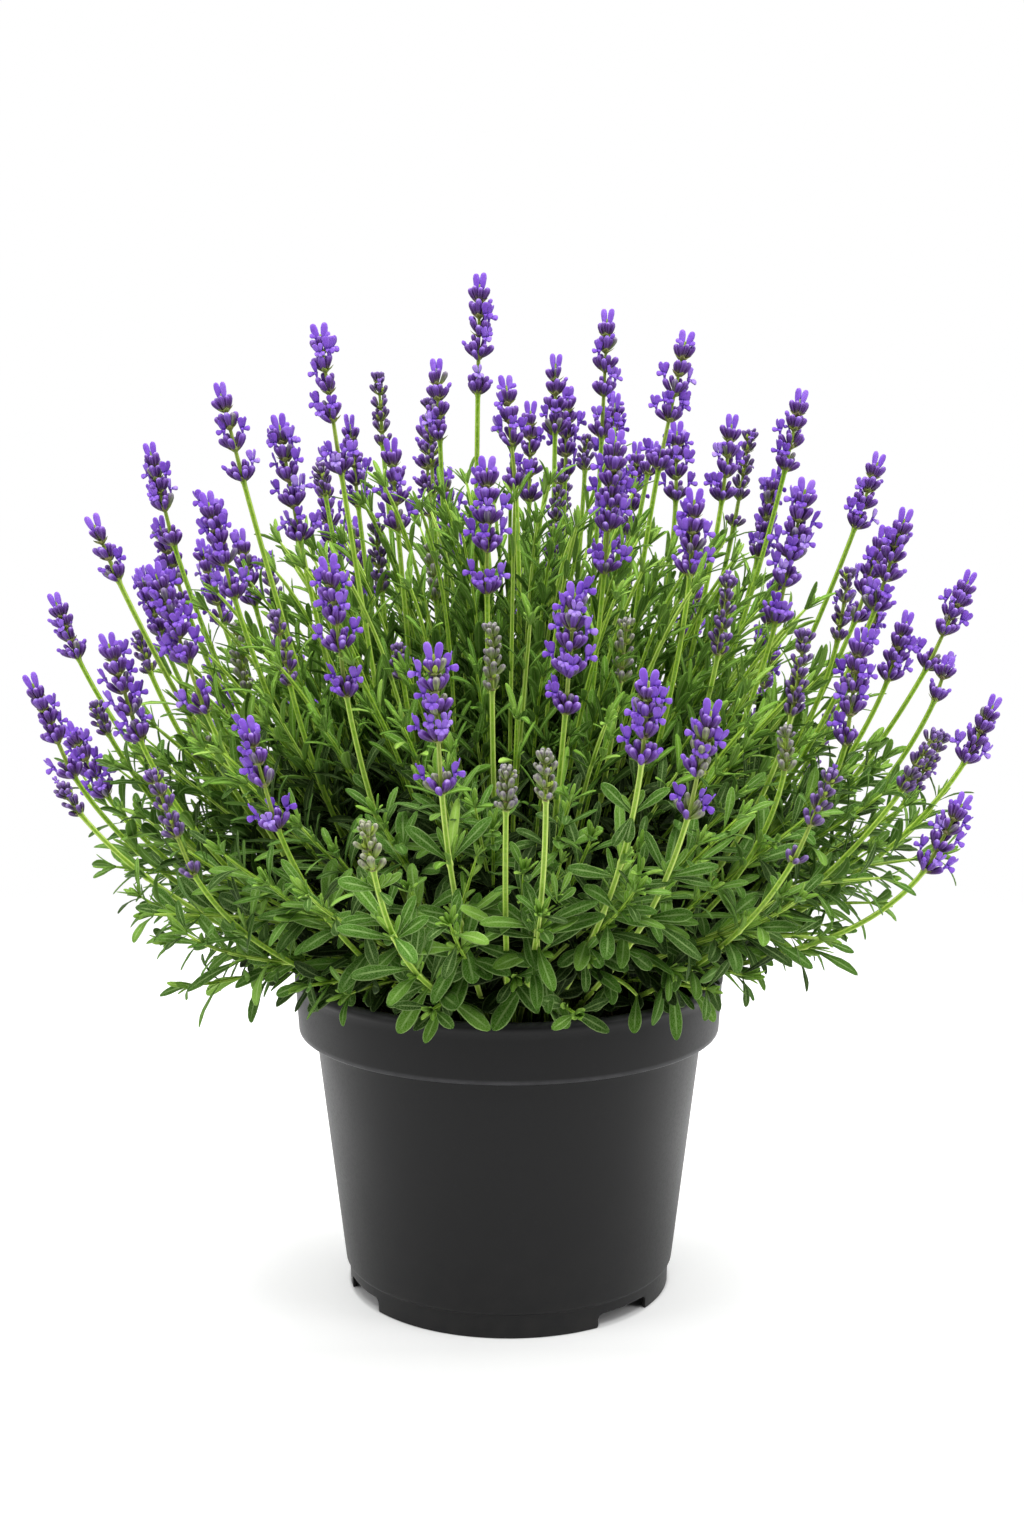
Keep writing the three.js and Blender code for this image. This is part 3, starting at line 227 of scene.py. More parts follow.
# ---------------------------------------------------------------- closed lofts
_topo = {}
def topology(R, K):
    if (R, K) not in _topo:
        i = np.arange(R - 1)[:, None]; k = np.arange(K)[None]
        k1 = (k + 1) % K
        quads = np.stack([i * K + k, i * K + k1, (i + 1) * K + k1, (i + 1) * K + k], -1).reshape(-1, 4)
        kk = np.arange(K); kn = (kk + 1) % K
        base = np.stack([np.full(K, R * K), kn, kk], -1)
        tip = np.stack([np.full(K, R * K + 1), (R - 1) * K + kk, (R - 1) * K + kn], -1)
        u0 = (i + 1) / (R + 1) + 0 * k; u1 = (i + 2) / (R + 1) + 0 * k
        v0 = k / K + 0 * i; v1 = (k + 1) / K + 0 * i
        uq = np.stack([np.stack([u0, v0], -1), np.stack([u0, v1], -1), np.stack([u1, v1], -1), np.stack([u1, v0], -1)], -2).reshape(-1, 4, 2)
        a = 1 / (R + 1); b = R / (R + 1)
        ub = np.stack([np.tile([0.0, 0.5], (K, 1)), np.stack([np.full(K, a), (kk + 1) / K], -1), np.stack([np.full(K, a), kk / K], -1)], 1)
        ut = np.stack([np.tile([1.0, 0.5], (K, 1)), np.stack([np.full(K, b), kk / K], -1), np.stack([np.full(K, b), (kk + 1) / K], -1)], 1)
        _topo[(R, K)] = (quads, np.vstack([base, tip]), uq, np.concatenate([ub, ut]))
    return _topo[(R, K)]

class Group:
    """Many closed elements of one topology: vertices, faces, map cells and the four numbers that the materials read."""
    def __init__(self, rings, base, tip, attr, mat, cell, chunk=None):
        N, R, K = rings.shape[:3]
        quads, tris, uq, ut = topology(R, K)
        nv = R * K + 2
        self.V = np.concatenate([rings.reshape(N, R * K, 3), base[:, None], tip[:, None]], 1).reshape(-1, 3)
        A = attr.reshape(N, R * K, 4)
        ab = attr[:, 0].mean(1); ab[:, 0] = 0.0
        at = attr[:, -1].mean(1); at[:, 0] = 1.0
        self.A = np.concatenate([A, ab[:, None], at[:, None]], 1).reshape(-1, 4)
        off = (np.arange(N) * nv)[:, None, None]
        self.Q = (quads[None] + off).reshape(-1, 4); self.T = (tris[None] + off).reshape(-1, 3)
        self.mat = mat
        n_chunk = 1 if chunk is None else int(math.ceil((R + 1) / chunk))
        per = (R + 1) if chunk is None else chunk
        def place(uv, count):
            uv = np.tile(uv[None], (N, 1, 1, 1)).reshape(-1, uv.shape[-2], 2)
            row = uv[..., 0].min(-1) * (R + 1)
            c = np.floor(row / per + 1e-6).astype(int)
            elem = np.repeat(np.arange(N), count)
            u = (uv[..., 0] * (R + 1) - (c * per)[:, None]) / per
            return np.stack([u, uv[..., 1]], -1), elem * n_chunk + c
        self.UQ, self.CQ = place(uq, len(quads))
        self.UT, self.CT = place(ut, len(tris))
        self.cells = N * n_chunk
        self.cell = (cell[0] / n_chunk, cell[1])

def plates(P, D, U, L, W, T, tt, oo, K, mat, rnd, tone=None, bend=0.0, fold=0.0, twist=0.0, side=0.0, roll=0.0, under=True, wave=None, alongs=None):
    """Leaves, bracts and petal lobes: closed thin solids on a bent mid-line. P origin, D direction, U upper side."""
    P = np.atleast_2d(P); N = len(P)
    if N == 0: return None
    full = lambda x: np.broadcast_to(np.asarray(x, float), (N,)).copy()
    L, W, T, bend, fold, twist, side, rnd = map(full, (L, W, T, bend, fold, twist, side, rnd))
    S, Nn, D = frames(np.atleast_2d(D), np.atleast_2d(U))
    tt = np.asarray(tt, float); oo = np.asarray(oo, float); R = len(tt)
    fine = np.linspace(0, 1, 33)
    phi = bend[:, None] * fine[None] ** 1.25; psi = side[:, None] * fine[None]
    step = (np.cos(phi) * np.cos(psi))[..., None] * D[:, None] - (np.sin(phi))[..., None] * Nn[:, None] + (np.cos(phi) * np.sin(psi))[..., None] * S[:, None]
    pos = np.concatenate([np.zeros((N, 1, 3)), np.cumsum((step[:, 1:] + step[:, :-1]) / 2, 1)], 1) / 32 * L[:, None, None]
    def sample(t):
        f = t * 32; i = np.minimum(f.astype(int), 31); w = (f - i)[None, :, None]
        c = pos[:, i] * (1 - w) + pos[:, i + 1] * w
        d = unit(step[:, i] * (1 - w) + step[:, i + 1] * w)
        return c, d
    C, Dt = sample(tt)
    Nt = unit(Nn[:, None] - (Nn[:, None] * Dt).sum(-1, keepdims=True) * Dt); St = np.cross(Nt, Dt)
    tw = (twist[:, None] * tt[None])[..., None]
    St, Nt = St * np.cos(tw) + Nt * np.sin(tw), Nt * np.cos(tw) - St * np.sin(tw)
    a = np.arange(K) * 2 * math.pi / K
    s, h = np.cos(a), np.sin(a)
    half = (W[:, None] / 2 * oo[None])[..., None]
    th = T[:, None, None] / 2 * np.minimum(1, 0.35 + 0.9 * oo)[None, :, None]
    lift = fold[:, None, None] * half * np.abs(s) ** 1.25 - roll * half * s ** 4
    if wave is not None:
        ph = full(rnd)[:, None, None] * 40
        lift = lift + full(wave)[:, None, None] * half * np.abs(s) * np.sin(tt[None, :, None] * 11 + ph + (s > 0) * 1.7) * np.sin(math.pi * tt)[None, :, None]
    ring = P[:, None, None] + C[:, :, None] + St[:, :, None] * (half * s)[..., None] + Nt[:, :, None] * (th * h + lift)[..., None]
    tipc, _ = sample(np.array([1.0]))
    tip = P + tipc[:, 0]; base = ring[:, 0].mean(1)
    attr = np.zeros((N, R, K, 4))
    attr[..., 0] = (tt if alongs is None else alongs)[None, :, None]; attr[..., 1] = (s + 1)[None, None] / 2; attr[..., 2] = rnd[:, None, None]
    attr[..., 3] = ((1 - h) / 2)[None, None] if under else (full(0 if tone is None else tone))[:, None, None]
    return Group(ring, base, tip, attr, mat, (float(np.median(L)), float(np.median(W)) * 2.1))

def bodies(P, D, U, L, W, tt, rr, K, mat, rnd, tone, bend=0.0, flat=0.9, rib=0.03, mouth=None):
    """Calyces, buds and clubs: closed turned bodies on a bent axis that curves towards U."""
    P = np.atleast_2d(P); N = len(P)
    if N == 0: return None
    full = lambda x: np.broadcast_to(np.asarray(x, float), (N,)).copy()
    L, W, bend, rnd, tone, flat = map(full, (L, W, bend, rnd, tone, flat))
    S, Nn, D = frames(np.atleast_2d(D), np.atleast_2d(U))
    tt = np.asarray(tt, float); rr = np.asarray(rr, float); R = len(tt)
    phi = bend[:, None] * tt[None]
    Dt = np.cos(phi)[..., None] * D[:, None] + np.sin(phi)[..., None] * Nn[:, None]
    sg = np.where(np.abs(bend) < 1e-4, 1e-4, bend)[:, None]
    C = (np.sin(sg * tt[None]) / sg)[..., None] * D[:, None] + ((1 - np.cos(sg * tt[None])) / sg)[..., None] * Nn[:, None]
    C = C * L[:, None, None]
    Nt = np.cos(phi)[..., None] * Nn[:, None] - np.sin(phi)[..., None] * D[:, None]
    a = np.arange(K) * 2 * math.pi / K
    wob = 1 + rib * np.cos(a * (K / 2))
    rad = (W[:, None] / 2 * rr[None])[..., None] * wob
    ring = P[:, None, None] + C[:, :, None] + S[:, None, None] * (rad * np.cos(a))[..., None] + Nt[:, :, None] * (rad * np.sin(a) * flat[:, None, None])[..., None]
    e = (np.sin(sg) / sg) * D * 1.0 + ((1 - np.cos(sg)) / sg) * Nn
    tip = P + e * L[:, None]
    if mouth is not None: tip = ring[:, -1].mean(1) - Dt[:, -1] * (mouth * L)[:, None]
    base = ring[:, 0].mean(1)
    attr = np.zeros((N, R, K, 4))
    attr[..., 0] = tt[None, :, None]; attr[..., 1] = (np.cos(a * (K / 2)) + 1)[None, None] / 2; attr[..., 2] = rnd[:, None, None]; attr[..., 3] = tone[:, None, None]
    return Group(ring, base, tip, attr, mat, (float(np.median(L)), float(np.median(W)) * 3.0))

def stalk(path, s0, s1, r0, r1, K, mat, rnd, step=7.0, square=0.12, swell=(), tone=0.0, rough=0.0, ends=(1.0, 1.0), chunk=8):
    """A square, ridged stalk along a path."""
    n = max(6, int((s1 - s0) / step)); s = np.linspace(s0, s1, n)
    for q in swell:
        s = np.concatenate([s, [q - 2.2, q - 0.7, q + 0.7, q + 2.2]])
    s = np.unique(np.clip(s, s0, s1).round(3))
    s = s[np.concatenate([[True], np.diff(s) > 0.35])]
    p = path.at(s); d = path.dir(s)
    N = np.zeros_like(d); ref = np.array([0.0, -1.0, 0.12])
    for i in range(len(s)):
        v = (ref if i == 0 else N[i - 1]); v = v - (v @ d[i]) * d[i]; N[i] = v / np.linalg.norm(v)
    S = np.cross(N, d)
    f = (s - s0) / (s1 - s0)
    r = r0 + (r1 - r0) * f
    for q in swell: r = r * (1 + 0.34 * np.exp(-((s - q) / 1.5) ** 2))
    r[0] *= ends[0]; r[-1] *= ends[1]
    a = np.arange(K) * 2 * math.pi / K + math.pi / 4
    sq = 1 + square * np.cos(4 * (a - math.pi / 4))
    rad = r[:, None] * sq[None]
    if rough:
        g = np.random.default_rng(int(rnd * 1e6) + 3)
        rad = rad * (1 + rough * g.normal(size=rad.shape))
    ring = p[:, None] + S[:, None] * (rad * np.cos(a))[..., None] + N[:, None] * (rad * np.sin(a))[..., None]
    attr = np.zeros((1, len(s), K, 4))
    attr[0, ..., 0] = f[:, None]; attr[0, ..., 1] = (np.cos(4 * (a - math.pi / 4)) + 1)[None] / 2; attr[0, ..., 2] = rnd; attr[0, ..., 3] = tone
    tip = p[-1] + d[-1] * r[-1] * 0.4; base = p[0] - d[0] * r[0] * 0.3
    return Group(ring[None], base[None], tip[None], attr, mat, (float(s1 - s0), float(r0 * 7)), chunk=chunk)

def build(name, groups, mats, replaces=None):
    groups = [g for g in groups if g is not None]
    area = sum(g.cells * g.cell[0] * g.cell[1] for g in groups)
    side = max(math.sqrt(area * 1.06), max(g.cell[0] for g in groups) * 1.001)
    y = 0.0
    V, A, Q, T, UQ, UT, MQ, MT = [], [], [], [], [], [], [], []
    n = 0
    order = sorted(range(len(groups)), key=lambda i: -groups[i].cell[1])
    for gi in order:
        g = groups[gi]; cw, ch = g.cell
        per = max(1, int(side // cw)); rows = int(math.ceil(g.cells / per))
        def put(uv, c, cw=cw, ch=ch, per=per, y=y):
            cx = (c % per) * cw; cy = y + (c // per) * ch
            return np.stack([cx[:, None] + (0.05 + 0.9 * uv[..., 0]) * cw, cy[:, None] + (0.05 + 0.9 * uv[..., 1]) * ch], -1)
        UQ.append(put(g.UQ, g.CQ)); UT.append(put(g.UT, g.CT))
        y += rows * ch
        V.append(g.V); A.append(g.A); Q.append(g.Q + n); T.append(g.T + n); n += len(g.V)
        MQ.append(np.full(len(g.Q), g.mat)); MT.append(np.full(len(g.T), g.mat))
    V = np.vstack(V) * MM; A = np.vstack(A); Q = np.vstack(Q); T = np.vstack(T)
    scale = np.array([0.998 / side, 0.998 / y])
    uv = np.concatenate([(np.concatenate(UQ) * scale).reshape(-1, 2), (np.concatenate(UT) * scale).reshape(-1, 2)]) + 0.001
    me = bpy.data.meshes.new(name)
    me.vertices.add(len(V)); me.vertices.foreach_set("co", V.astype(np.float32).ravel())
    loops = np.concatenate([Q.ravel(), T.ravel()]).astype(np.int32)
    me.loops.add(len(loops)); me.loops.foreach_set("vertex_index", loops)
    start = np.concatenate([np.arange(len(Q)) * 4, len(Q) * 4 + np.arange(len(T)) * 3]).astype(np.int32)
    me.polygons.add(len(start)); me.polygons.foreach_set("loop_start", start)
    me.polygons.foreach_set("material_index", np.concatenate(MQ + MT).astype(np.int32))
    me.update(calc_edges=True)
    me.polygons.foreach_set("use_smooth", np.ones(len(start), bool))
    layer = me.uv_layers.new(name="OFBake"); layer.data.foreach_set("uv", uv.astype(np.float32).ravel())
    at = me.attributes.new("geo", "FLOAT_COLOR", "POINT"); at.data.foreach_set("color", A.astype(np.float32).ravel())
    for m in mats: me.materials.append(m)
    me.validate(); me.update()
    ob = bpy.data.objects.new(name, me); bpy.context.scene.collection.objects.link(ob)
    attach(ob, "root")
    if replaces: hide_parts(replaces)
    return ob

# ---------------------------------------------------------------- materials
def lin(c):
    return [((x / 255) / 12.92 if x / 255 <= 0.04045 else ((x / 255 + 0.055) / 1.055) ** 2.4) for x in c] + [1.0]

class Nodes:
    def __init__(self, name):
        self.m = bpy.data.materials.new(name); self.m.use_nodes = True
        self.t = self.m.node_tree; self.t.nodes.clear()
        self.out = self.t.nodes.new("ShaderNodeOutputMaterial")
        self.bsdf = self.t.nodes.new("ShaderNodeBsdfPrincipled")
        self.t.links.new(self.bsdf.outputs[0], self.out.inputs[0])
    def link(self, a, b): self.t.links.new(a, b)
    def new(self, kind, **kw):
        n = self.t.nodes.new(kind)
        for k, v in kw.items(): setattr(n, k, v)
        return n
    def put(self, node, sock, val):
        if isinstance(val, bpy.types.NodeSocket): self.link(val, node.inputs[sock])
        else: node.inputs[sock].default_value = val
    def geo(self):
        a = self.new("ShaderNodeAttribute", attribute_name="geo")
        sp = self.new("ShaderNodeSeparateColor"); self.link(a.outputs["Color"], sp.inputs[0])
        return sp.outputs[0], sp.outputs[1], sp.outputs[2], a.outputs["Alpha"]
    def math(self, op, a, b=0.0, clamp=False):
        n = self.new("ShaderNodeMath", operation=op); n.use_clamp = clamp
        self.put(n, 0, a); self.put(n, 1, b); return n.outputs[0]
    def ramp(self, fac, stops, mode="LINEAR"):
        n = self.new("ShaderNodeValToRGB"); self.put(n, 0, fac); r = n.color_ramp; r.interpolation = mode
        while len(r.elements) < len(stops): r.elements.new(0.5)
        for e, (p, c) in zip(r.elements, stops):
            e.position = p; e.color = c if len(c) == 4 else lin(c)
        return n.outputs[0]
    def val(self, fac, stops):
        return self.ramp(fac, [(p, (v, v, v, 1)) for p, v in stops])
    def mix(self, fac, a, b, mode="MIX"):
        n = self.new("ShaderNodeMix", data_type="RGBA", blend_type=mode)
        self.put(n, 0, fac); self.put(n, 6, a); self.put(n, 7, b); return n.outputs[2]
    def noise(self, scale, detail=3.0, rough=0.55, vec=None, dist=0.0):
        n = self.new("ShaderNodeTexNoise"); n.inputs["Scale"].default_value = scale; n.inputs["Detail"].default_value = detail
        n.inputs["Roughness"].default_value = rough; n.inputs["Distortion"].default_value = dist
        self.link(vec if vec is not None else self.obj(), n.inputs["Vector"]); return n.outputs["Fac"]
    def obj(self):
        if not hasattr(self, "_tc"): self._tc = self.new("ShaderNodeTexCoord")
        return self._tc.outputs["Object"]
    def bump(self, height, strength, dist, normal=None):
        n = self.new("ShaderNodeBump"); n.inputs["Strength"].default_value = strength; n.inputs["Distance"].default_value = dist
        self.link(height, n.inputs["Height"])
        if normal is not None: self.link(normal, n.inputs["Normal"])
        return n.outputs[0]
    def shade(self, color, rough=0.5, normal=None, spec=0.5, sheen=0.0, sheen_tint=None, sheen_rough=0.4, sss=0.0, sss_r=None, coat=0.0, coat_rough=0.3):
        b = self.bsdf
        self.put(b, "Base Color", color); self.put(b, "Roughness", rough)
        b.inputs["Specular IOR Level"].default_value = spec
        b.inputs["Sheen Weight"].default_value = sheen; b.inputs["Sheen Roughness"].default_value = sheen_rough
        if sheen_tint: b.inputs["Sheen Tint"].default_value = lin(sheen_tint)
        b.inputs["Coat Weight"].default_value = coat; b.inputs["Coat Roughness"].default_value = coat_rough
        if sss:
            b.inputs["Subsurface Weight"].default_value = sss; b.inputs["Subsurface Scale"].default_value = 0.002
            b.inputs["Subsurface Radius"].default_value = sss_r or (1, 1, 1)
        if normal is not None: self.link(normal, b.inputs["Normal"])
        return self.m

def mat_leaf(name, deep, dark, mid, light, rib, under, veins=1.0):
    n = Nodes(name); along, across, rnd, und = n.geo()
    # a low rnd, mostly from the painted shade deep in the bush, picks the near-black and dark greens
    base = n.ramp(rnd, [(0.0, deep), (0.30, dark), (0.62, mid), (1.0, light)])
    patch = n.noise(90, 3.0, 0.6)
    base = n.mix(n.val(patch, [(0.3, 0.0), (0.72, 0.6)]), base, n.mix(1.0, base, lin((176, 196, 120)), "MULTIPLY"))
    lit = n.val(rnd, [(0.0, 0.15), (0.35, 0.8), (1.0, 1.0)])
    felt = n.noise(1500, 2.5, 0.7)
    base = n.mix(n.math("MULTIPLY", n.val(felt, [(0.42, 0.0), (0.75, 0.30)]), lit), base, lin(rib))
    c = n.math("ABSOLUTE", n.math("SUBTRACT", across, 0.5))
    mid_line = n.math("MULTIPLY", n.val(c, [(0.0, 1.0), (0.045, 0.85), (0.085, 0.0)]), n.val(along, [(0.0, 1.0), (0.75, 0.75), (0.97, 0.0)]))
    edge = n.val(c, [(0.40, 0.0), (0.487, 0.62), (0.5, 0.8)])
    # side veins run forward from the midrib
    wv = n.math("SINE", n.math("MULTIPLY", n.math("SUBTRACT", n.math("MULTIPLY", along, 11.0), n.math("MULTIPLY", c, 5.5)), 6.2832))
    vein = n.math("MULTIPLY", n.val(wv, [(0.80, 0.0), (1.0, 0.20 * veins)]), n.val(c, [(0.0, 1.0), (0.42, 0.3)]))
    top = n.mix(n.math("MULTIPLY", n.math("MAXIMUM", n.math("MULTIPLY", mid_line, 0.52), vein), lit), base, lin(rib))
    top = n.mix(n.math("MULTIPLY", n.math("MULTIPLY", edge, 0.8), lit), top, lin(rib))
    low = n.mix(n.math("MULTIPLY", n.math("MULTIPLY", mid_line, 0.6), lit), n.mix(n.math("MULTIPLY", lit, 0.5), base, lin(under)), lin(rib))
    col = n.mix(n.val(und, [(0.45, 0.0), (0.6, 1.0)]), top, low)
    col = n.mix(n.math("MULTIPLY", n.val(along, [(0.0, 0.6), (0.2, 0.0)]), lit), col, lin((124, 166, 40)))
    h = n.math("SUBTRACT", n.math("MULTIPLY", n.noise(1100, 2.0, 0.6), 0.5), n.math("MULTIPLY", mid_line, 0.9))
    h = n.math("SUBTRACT", h, n.math("MULTIPLY", vein, 0.8))
    nrm = n.bump(h, 0.55, 0.0003)
    rough = n.val(felt, [(0.3, 0.50), (0.8, 0.68)])
    return n.shade(col, rough, nrm, spec=0.05, sheen=0.03, sheen_tint=(150, 220, 90), sheen_rough=0.4)

def mat_stalk(name):
    n = Nodes(name); along, across, rnd, tone = n.geo()
    face = n.ramp(rnd, [(0.0, (78, 122, 8)), (0.5, (102, 148, 14)), (1.0, (130, 172, 34))])
    ridge = n.ramp(rnd, [(0.0, (146, 186, 44)), (0.5, (180, 214, 74)), (1.0, (212, 234, 124))])
    streak = n.noise(700, 2.0, 0.5)
    col = n.mix(n.val(across, [(0.32, 0.0), (0.85, 1.0)]), face, ridge)
    col = n.mix(n.val(streak, [(0.4, 0.0), (0.7, 0.3)]), col, lin((190, 206, 124)))
    col = n.mix(n.val(n.noise(60, 2.0), [(0.5, 0.0), (0.8, 0.2)]), col, lin((84, 124, 20)))
    # tone 1 is the part inside the flower head, duller and tinged
    col = n.mix(n.math("MULTIPLY", tone, 0.5), col, lin((112, 106, 60)))
    col = n.mix(n.val(along, [(0.0, 0.35), (0.12, 0.0)]), col, lin((112, 124, 62)))
    nrm = n.bump(n.noise(1300, 2.0, 0.6), 0.35, 0.0002)
    return n.shade(col, 0.46, nrm, spec=0.24, sheen=0.04, sheen_tint=(200, 232, 120))

def mat_calyx(name):
    n = Nodes(name); along, across, rnd, tone = n.geo()
    w = n.math("ADD", along, n.math("MULTIPLY", n.math("SUBTRACT", n.noise(500, 2.0, 0.5), 0.5), 0.22))
    # rnd 0 is a light one, seen mostly at the foot of a whorl, and 1 a dark one
    violet = n.ramp(w, [(0.0, (118, 136, 52)), (0.12, (100, 88, 92)), (0.30, (88, 48, 130)), (0.56, (98, 56, 152)), (0.84, (114, 74, 178)), (0.94, (140, 108, 204)), (1.0, (172, 146, 222))])
    violet2 = n.ramp(w, [(0.0, (124, 142, 50)), (0.18, (98, 92, 60)), (0.36, (66, 34, 84)), (0.62, (74, 34, 112)), (0.84, (94, 50, 146)), (0.94, (132, 92, 188)), (1.0, (182, 154, 224))])
    faded = n.ramp(w, [(0.0, (106, 132, 42)), (0.24, (96, 102, 60)), (0.46, (70, 50, 84)), (0.80, (86, 62, 116)), (1.0, (132, 108, 164))])
    pale = n.ramp(w, [(0.0, (116, 156, 38)), (0.34, (132, 158, 56)), (0.60, (132, 146, 74)), (0.84, (110, 106, 96)), (1.0, (166, 166, 144))])
    col = n.mix(n.val(rnd, [(0.1, 0.0), (0.5, 1.0)]), violet, violet2)
    col = n.mix(n.val(tone, [(0.15, 0.0), (0.5, 1.0)]), col, faded)
    col = n.mix(n.val(tone, [(0.55, 0.0), (0.95, 1.0)]), col, pale)
    col = n.mix(n.math("MULTIPLY", n.val(across, [(0.45, 0.0), (1.0, 1.0)]), n.val(tone, [(0.3, 0.34), (0.8, 0.10)])), col, lin((146, 116, 192)))
    # the young ones have pale green ribs and rims
    ribbed = n.math("MULTIPLY", n.val(tone, [(0.35, 0.0), (0.8, 0.40)]), n.val(across, [(0.35, 0.0), (1.0, 1.0)]))
    col = n.mix(ribbed, col, lin((168, 192, 112)))
    felt = n.noise(1900, 2.0, 0.7)
    col = n.mix(n.math("MULTIPLY", n.val(felt, [(0.5, 0.0), (0.8, 0.22)]), n.val(tone, [(0.4, 1.0), (0.9, 0.2)])), col, lin((150, 118, 200)))
    nrm = n.bump(n.math("ADD", n.math("MULTIPLY", across, 0.6), n.noise(1400, 2.0, 0.6)), 0.5, 0.0003)
    return n.shade(col, 0.50, nrm, spec=0.32, sheen=0.20, sheen_tint=(196, 156, 236), sheen_rough=0.25)

def mat_corolla(name):
    n = Nodes(name); along, across, rnd, tone = n.geo()
    col = n.ramp(rnd, [(0.0, (108, 62, 184)), (0.5, (128, 80, 204)), (0.85, (148, 106, 218)), (1.0, (174, 144, 228))])
    deep = lin((76, 40, 156))
    col = n.mix(n.val(along, [(0.0, 0.75), (0.42, 0.0)]), col, deep)
    c = n.math("ABSOLUTE", n.math("SUBTRACT", across, 0.5))
    col = n.mix(n.val(c, [(0.36, 0.0), (0.5, 0.42)]), col, lin((176, 144, 242)))
    vn = n.noise(420, 2.0, 0.5)
    col = n.mix(n.val(vn, [(0.42, 0.0), (0.7, 0.34)]), col, lin((104, 52, 172)))
    col = n.mix(n.val(n.noise(1700, 2.0, 0.7), [(0.5, 0.0), (0.85, 0.25)]), col, lin((168, 132, 232)))
    col = n.mix(n.math("MULTIPLY", tone, 0.6), col, lin((124, 96, 160)))
    nrm = n.bump(n.noise(900, 2.0, 0.6), 0.35, 0.0003)
    return n.shade(col, 0.50, nrm, spec=0.30, sheen=0.14, sheen_tint=(196, 160, 250), sheen_rough=0.35)

def mat_bract(name):
    n = Nodes(name); along, across, rnd, tone = n.geo()
    col = n.ramp(rnd, [(0.0, (128, 156, 44)), (0.5, (134, 146, 58)), (1.0, (126, 116, 70))])
    col = n.mix(n.math("MULTIPLY", n.val(along, [(0.55, 0.0), (1.0, 0.55)]), n.val(tone, [(0.0, 1.0), (1.0, 0.0)])), col, lin((110, 84, 100)))
    col = n.mix(n.math("MULTIPLY", tone, 0.7), col, lin((156, 182, 56)))
    col = n.mix(n.val(n.noise(900, 2.0, 0.6), [(0.45, 0.0), (0.75, 0.35)]), col, lin((168, 172, 118)))
    nrm = n.bump(n.noise(1200, 2.0, 0.6), 0.4, 0.0002)
    return n.shade(col, 0.6, nrm, spec=0.35, sheen=0.15, sheen_tint=(214, 216, 190))

def mat_bark(name):
    n = Nodes(name); along, across, rnd, tone = n.geo()
    mp = n.new("ShaderNodeMapping"); mp.inputs["Scale"].default_value = (1, 1, 0.22); n.link(n.obj(), mp.inputs["Vector"])
    f = n.noise(420, 5.0, 0.65, mp.outputs[0], 0.6)
    col = n.ramp(f, [(0.25, (58, 46, 34)), (0.5, (104, 86, 62)), (0.75, (146, 126, 96))])
    col = n.mix(n.val(n.noise(50, 2.0), [(0.45, 0.0), (0.7, 0.4)]), col, lin((112, 116, 76)))
    return n.shade(col, n.val(f, [(0.2, 0.9), (0.8, 0.72)]), n.bump(f, 0.9, 0.0012), spec=0.25)

def mat_compost(name):
    n = Nodes(name)
    f = n.noise(260, 6.0, 0.7); g = n.noise(1400, 3.0, 0.6)
    vor = n.new("ShaderNodeTexVoronoi"); vor.inputs["Scale"].default_value = 420; n.link(n.obj(), vor.inputs["Vector"])
    col = n.ramp(f, [(0.25, (16, 11, 8)), (0.5, (38, 27, 19)), (0.8, (70, 52, 36))])
    col = n.mix(n.val(vor.outputs["Distance"], [(0.0, 0.45), (0.5, 0.0)]), col, lin((88, 66, 46)))
    h = n.math("ADD", n.math("MULTIPLY", f, 1.0), n.math("MULTIPLY", g, 0.5))
    return n.shade(col, 0.92, n.bump(h, 1.0, 0.0022), spec=0.2)

def mat_chip(name):
    n = Nodes(name); along, across, rnd, tone = n.geo()
    mp = n.new("ShaderNodeMapping"); mp.inputs["Scale"].default_value = (1, 0.3, 1); n.link(n.obj(), mp.inputs["Vector"])
    f = n.noise(700, 4.0, 0.6, mp.outputs[0])
    col = n.mix(rnd, n.ramp(f, [(0.3, (34, 24, 17)), (0.7, (84, 60, 40))]), n.ramp(f, [(0.3, (62, 44, 30)), (0.7, (120, 90, 62))]))
    return n.shade(col, 0.85, n.bump(f, 0.8, 0.0006), spec=0.25)

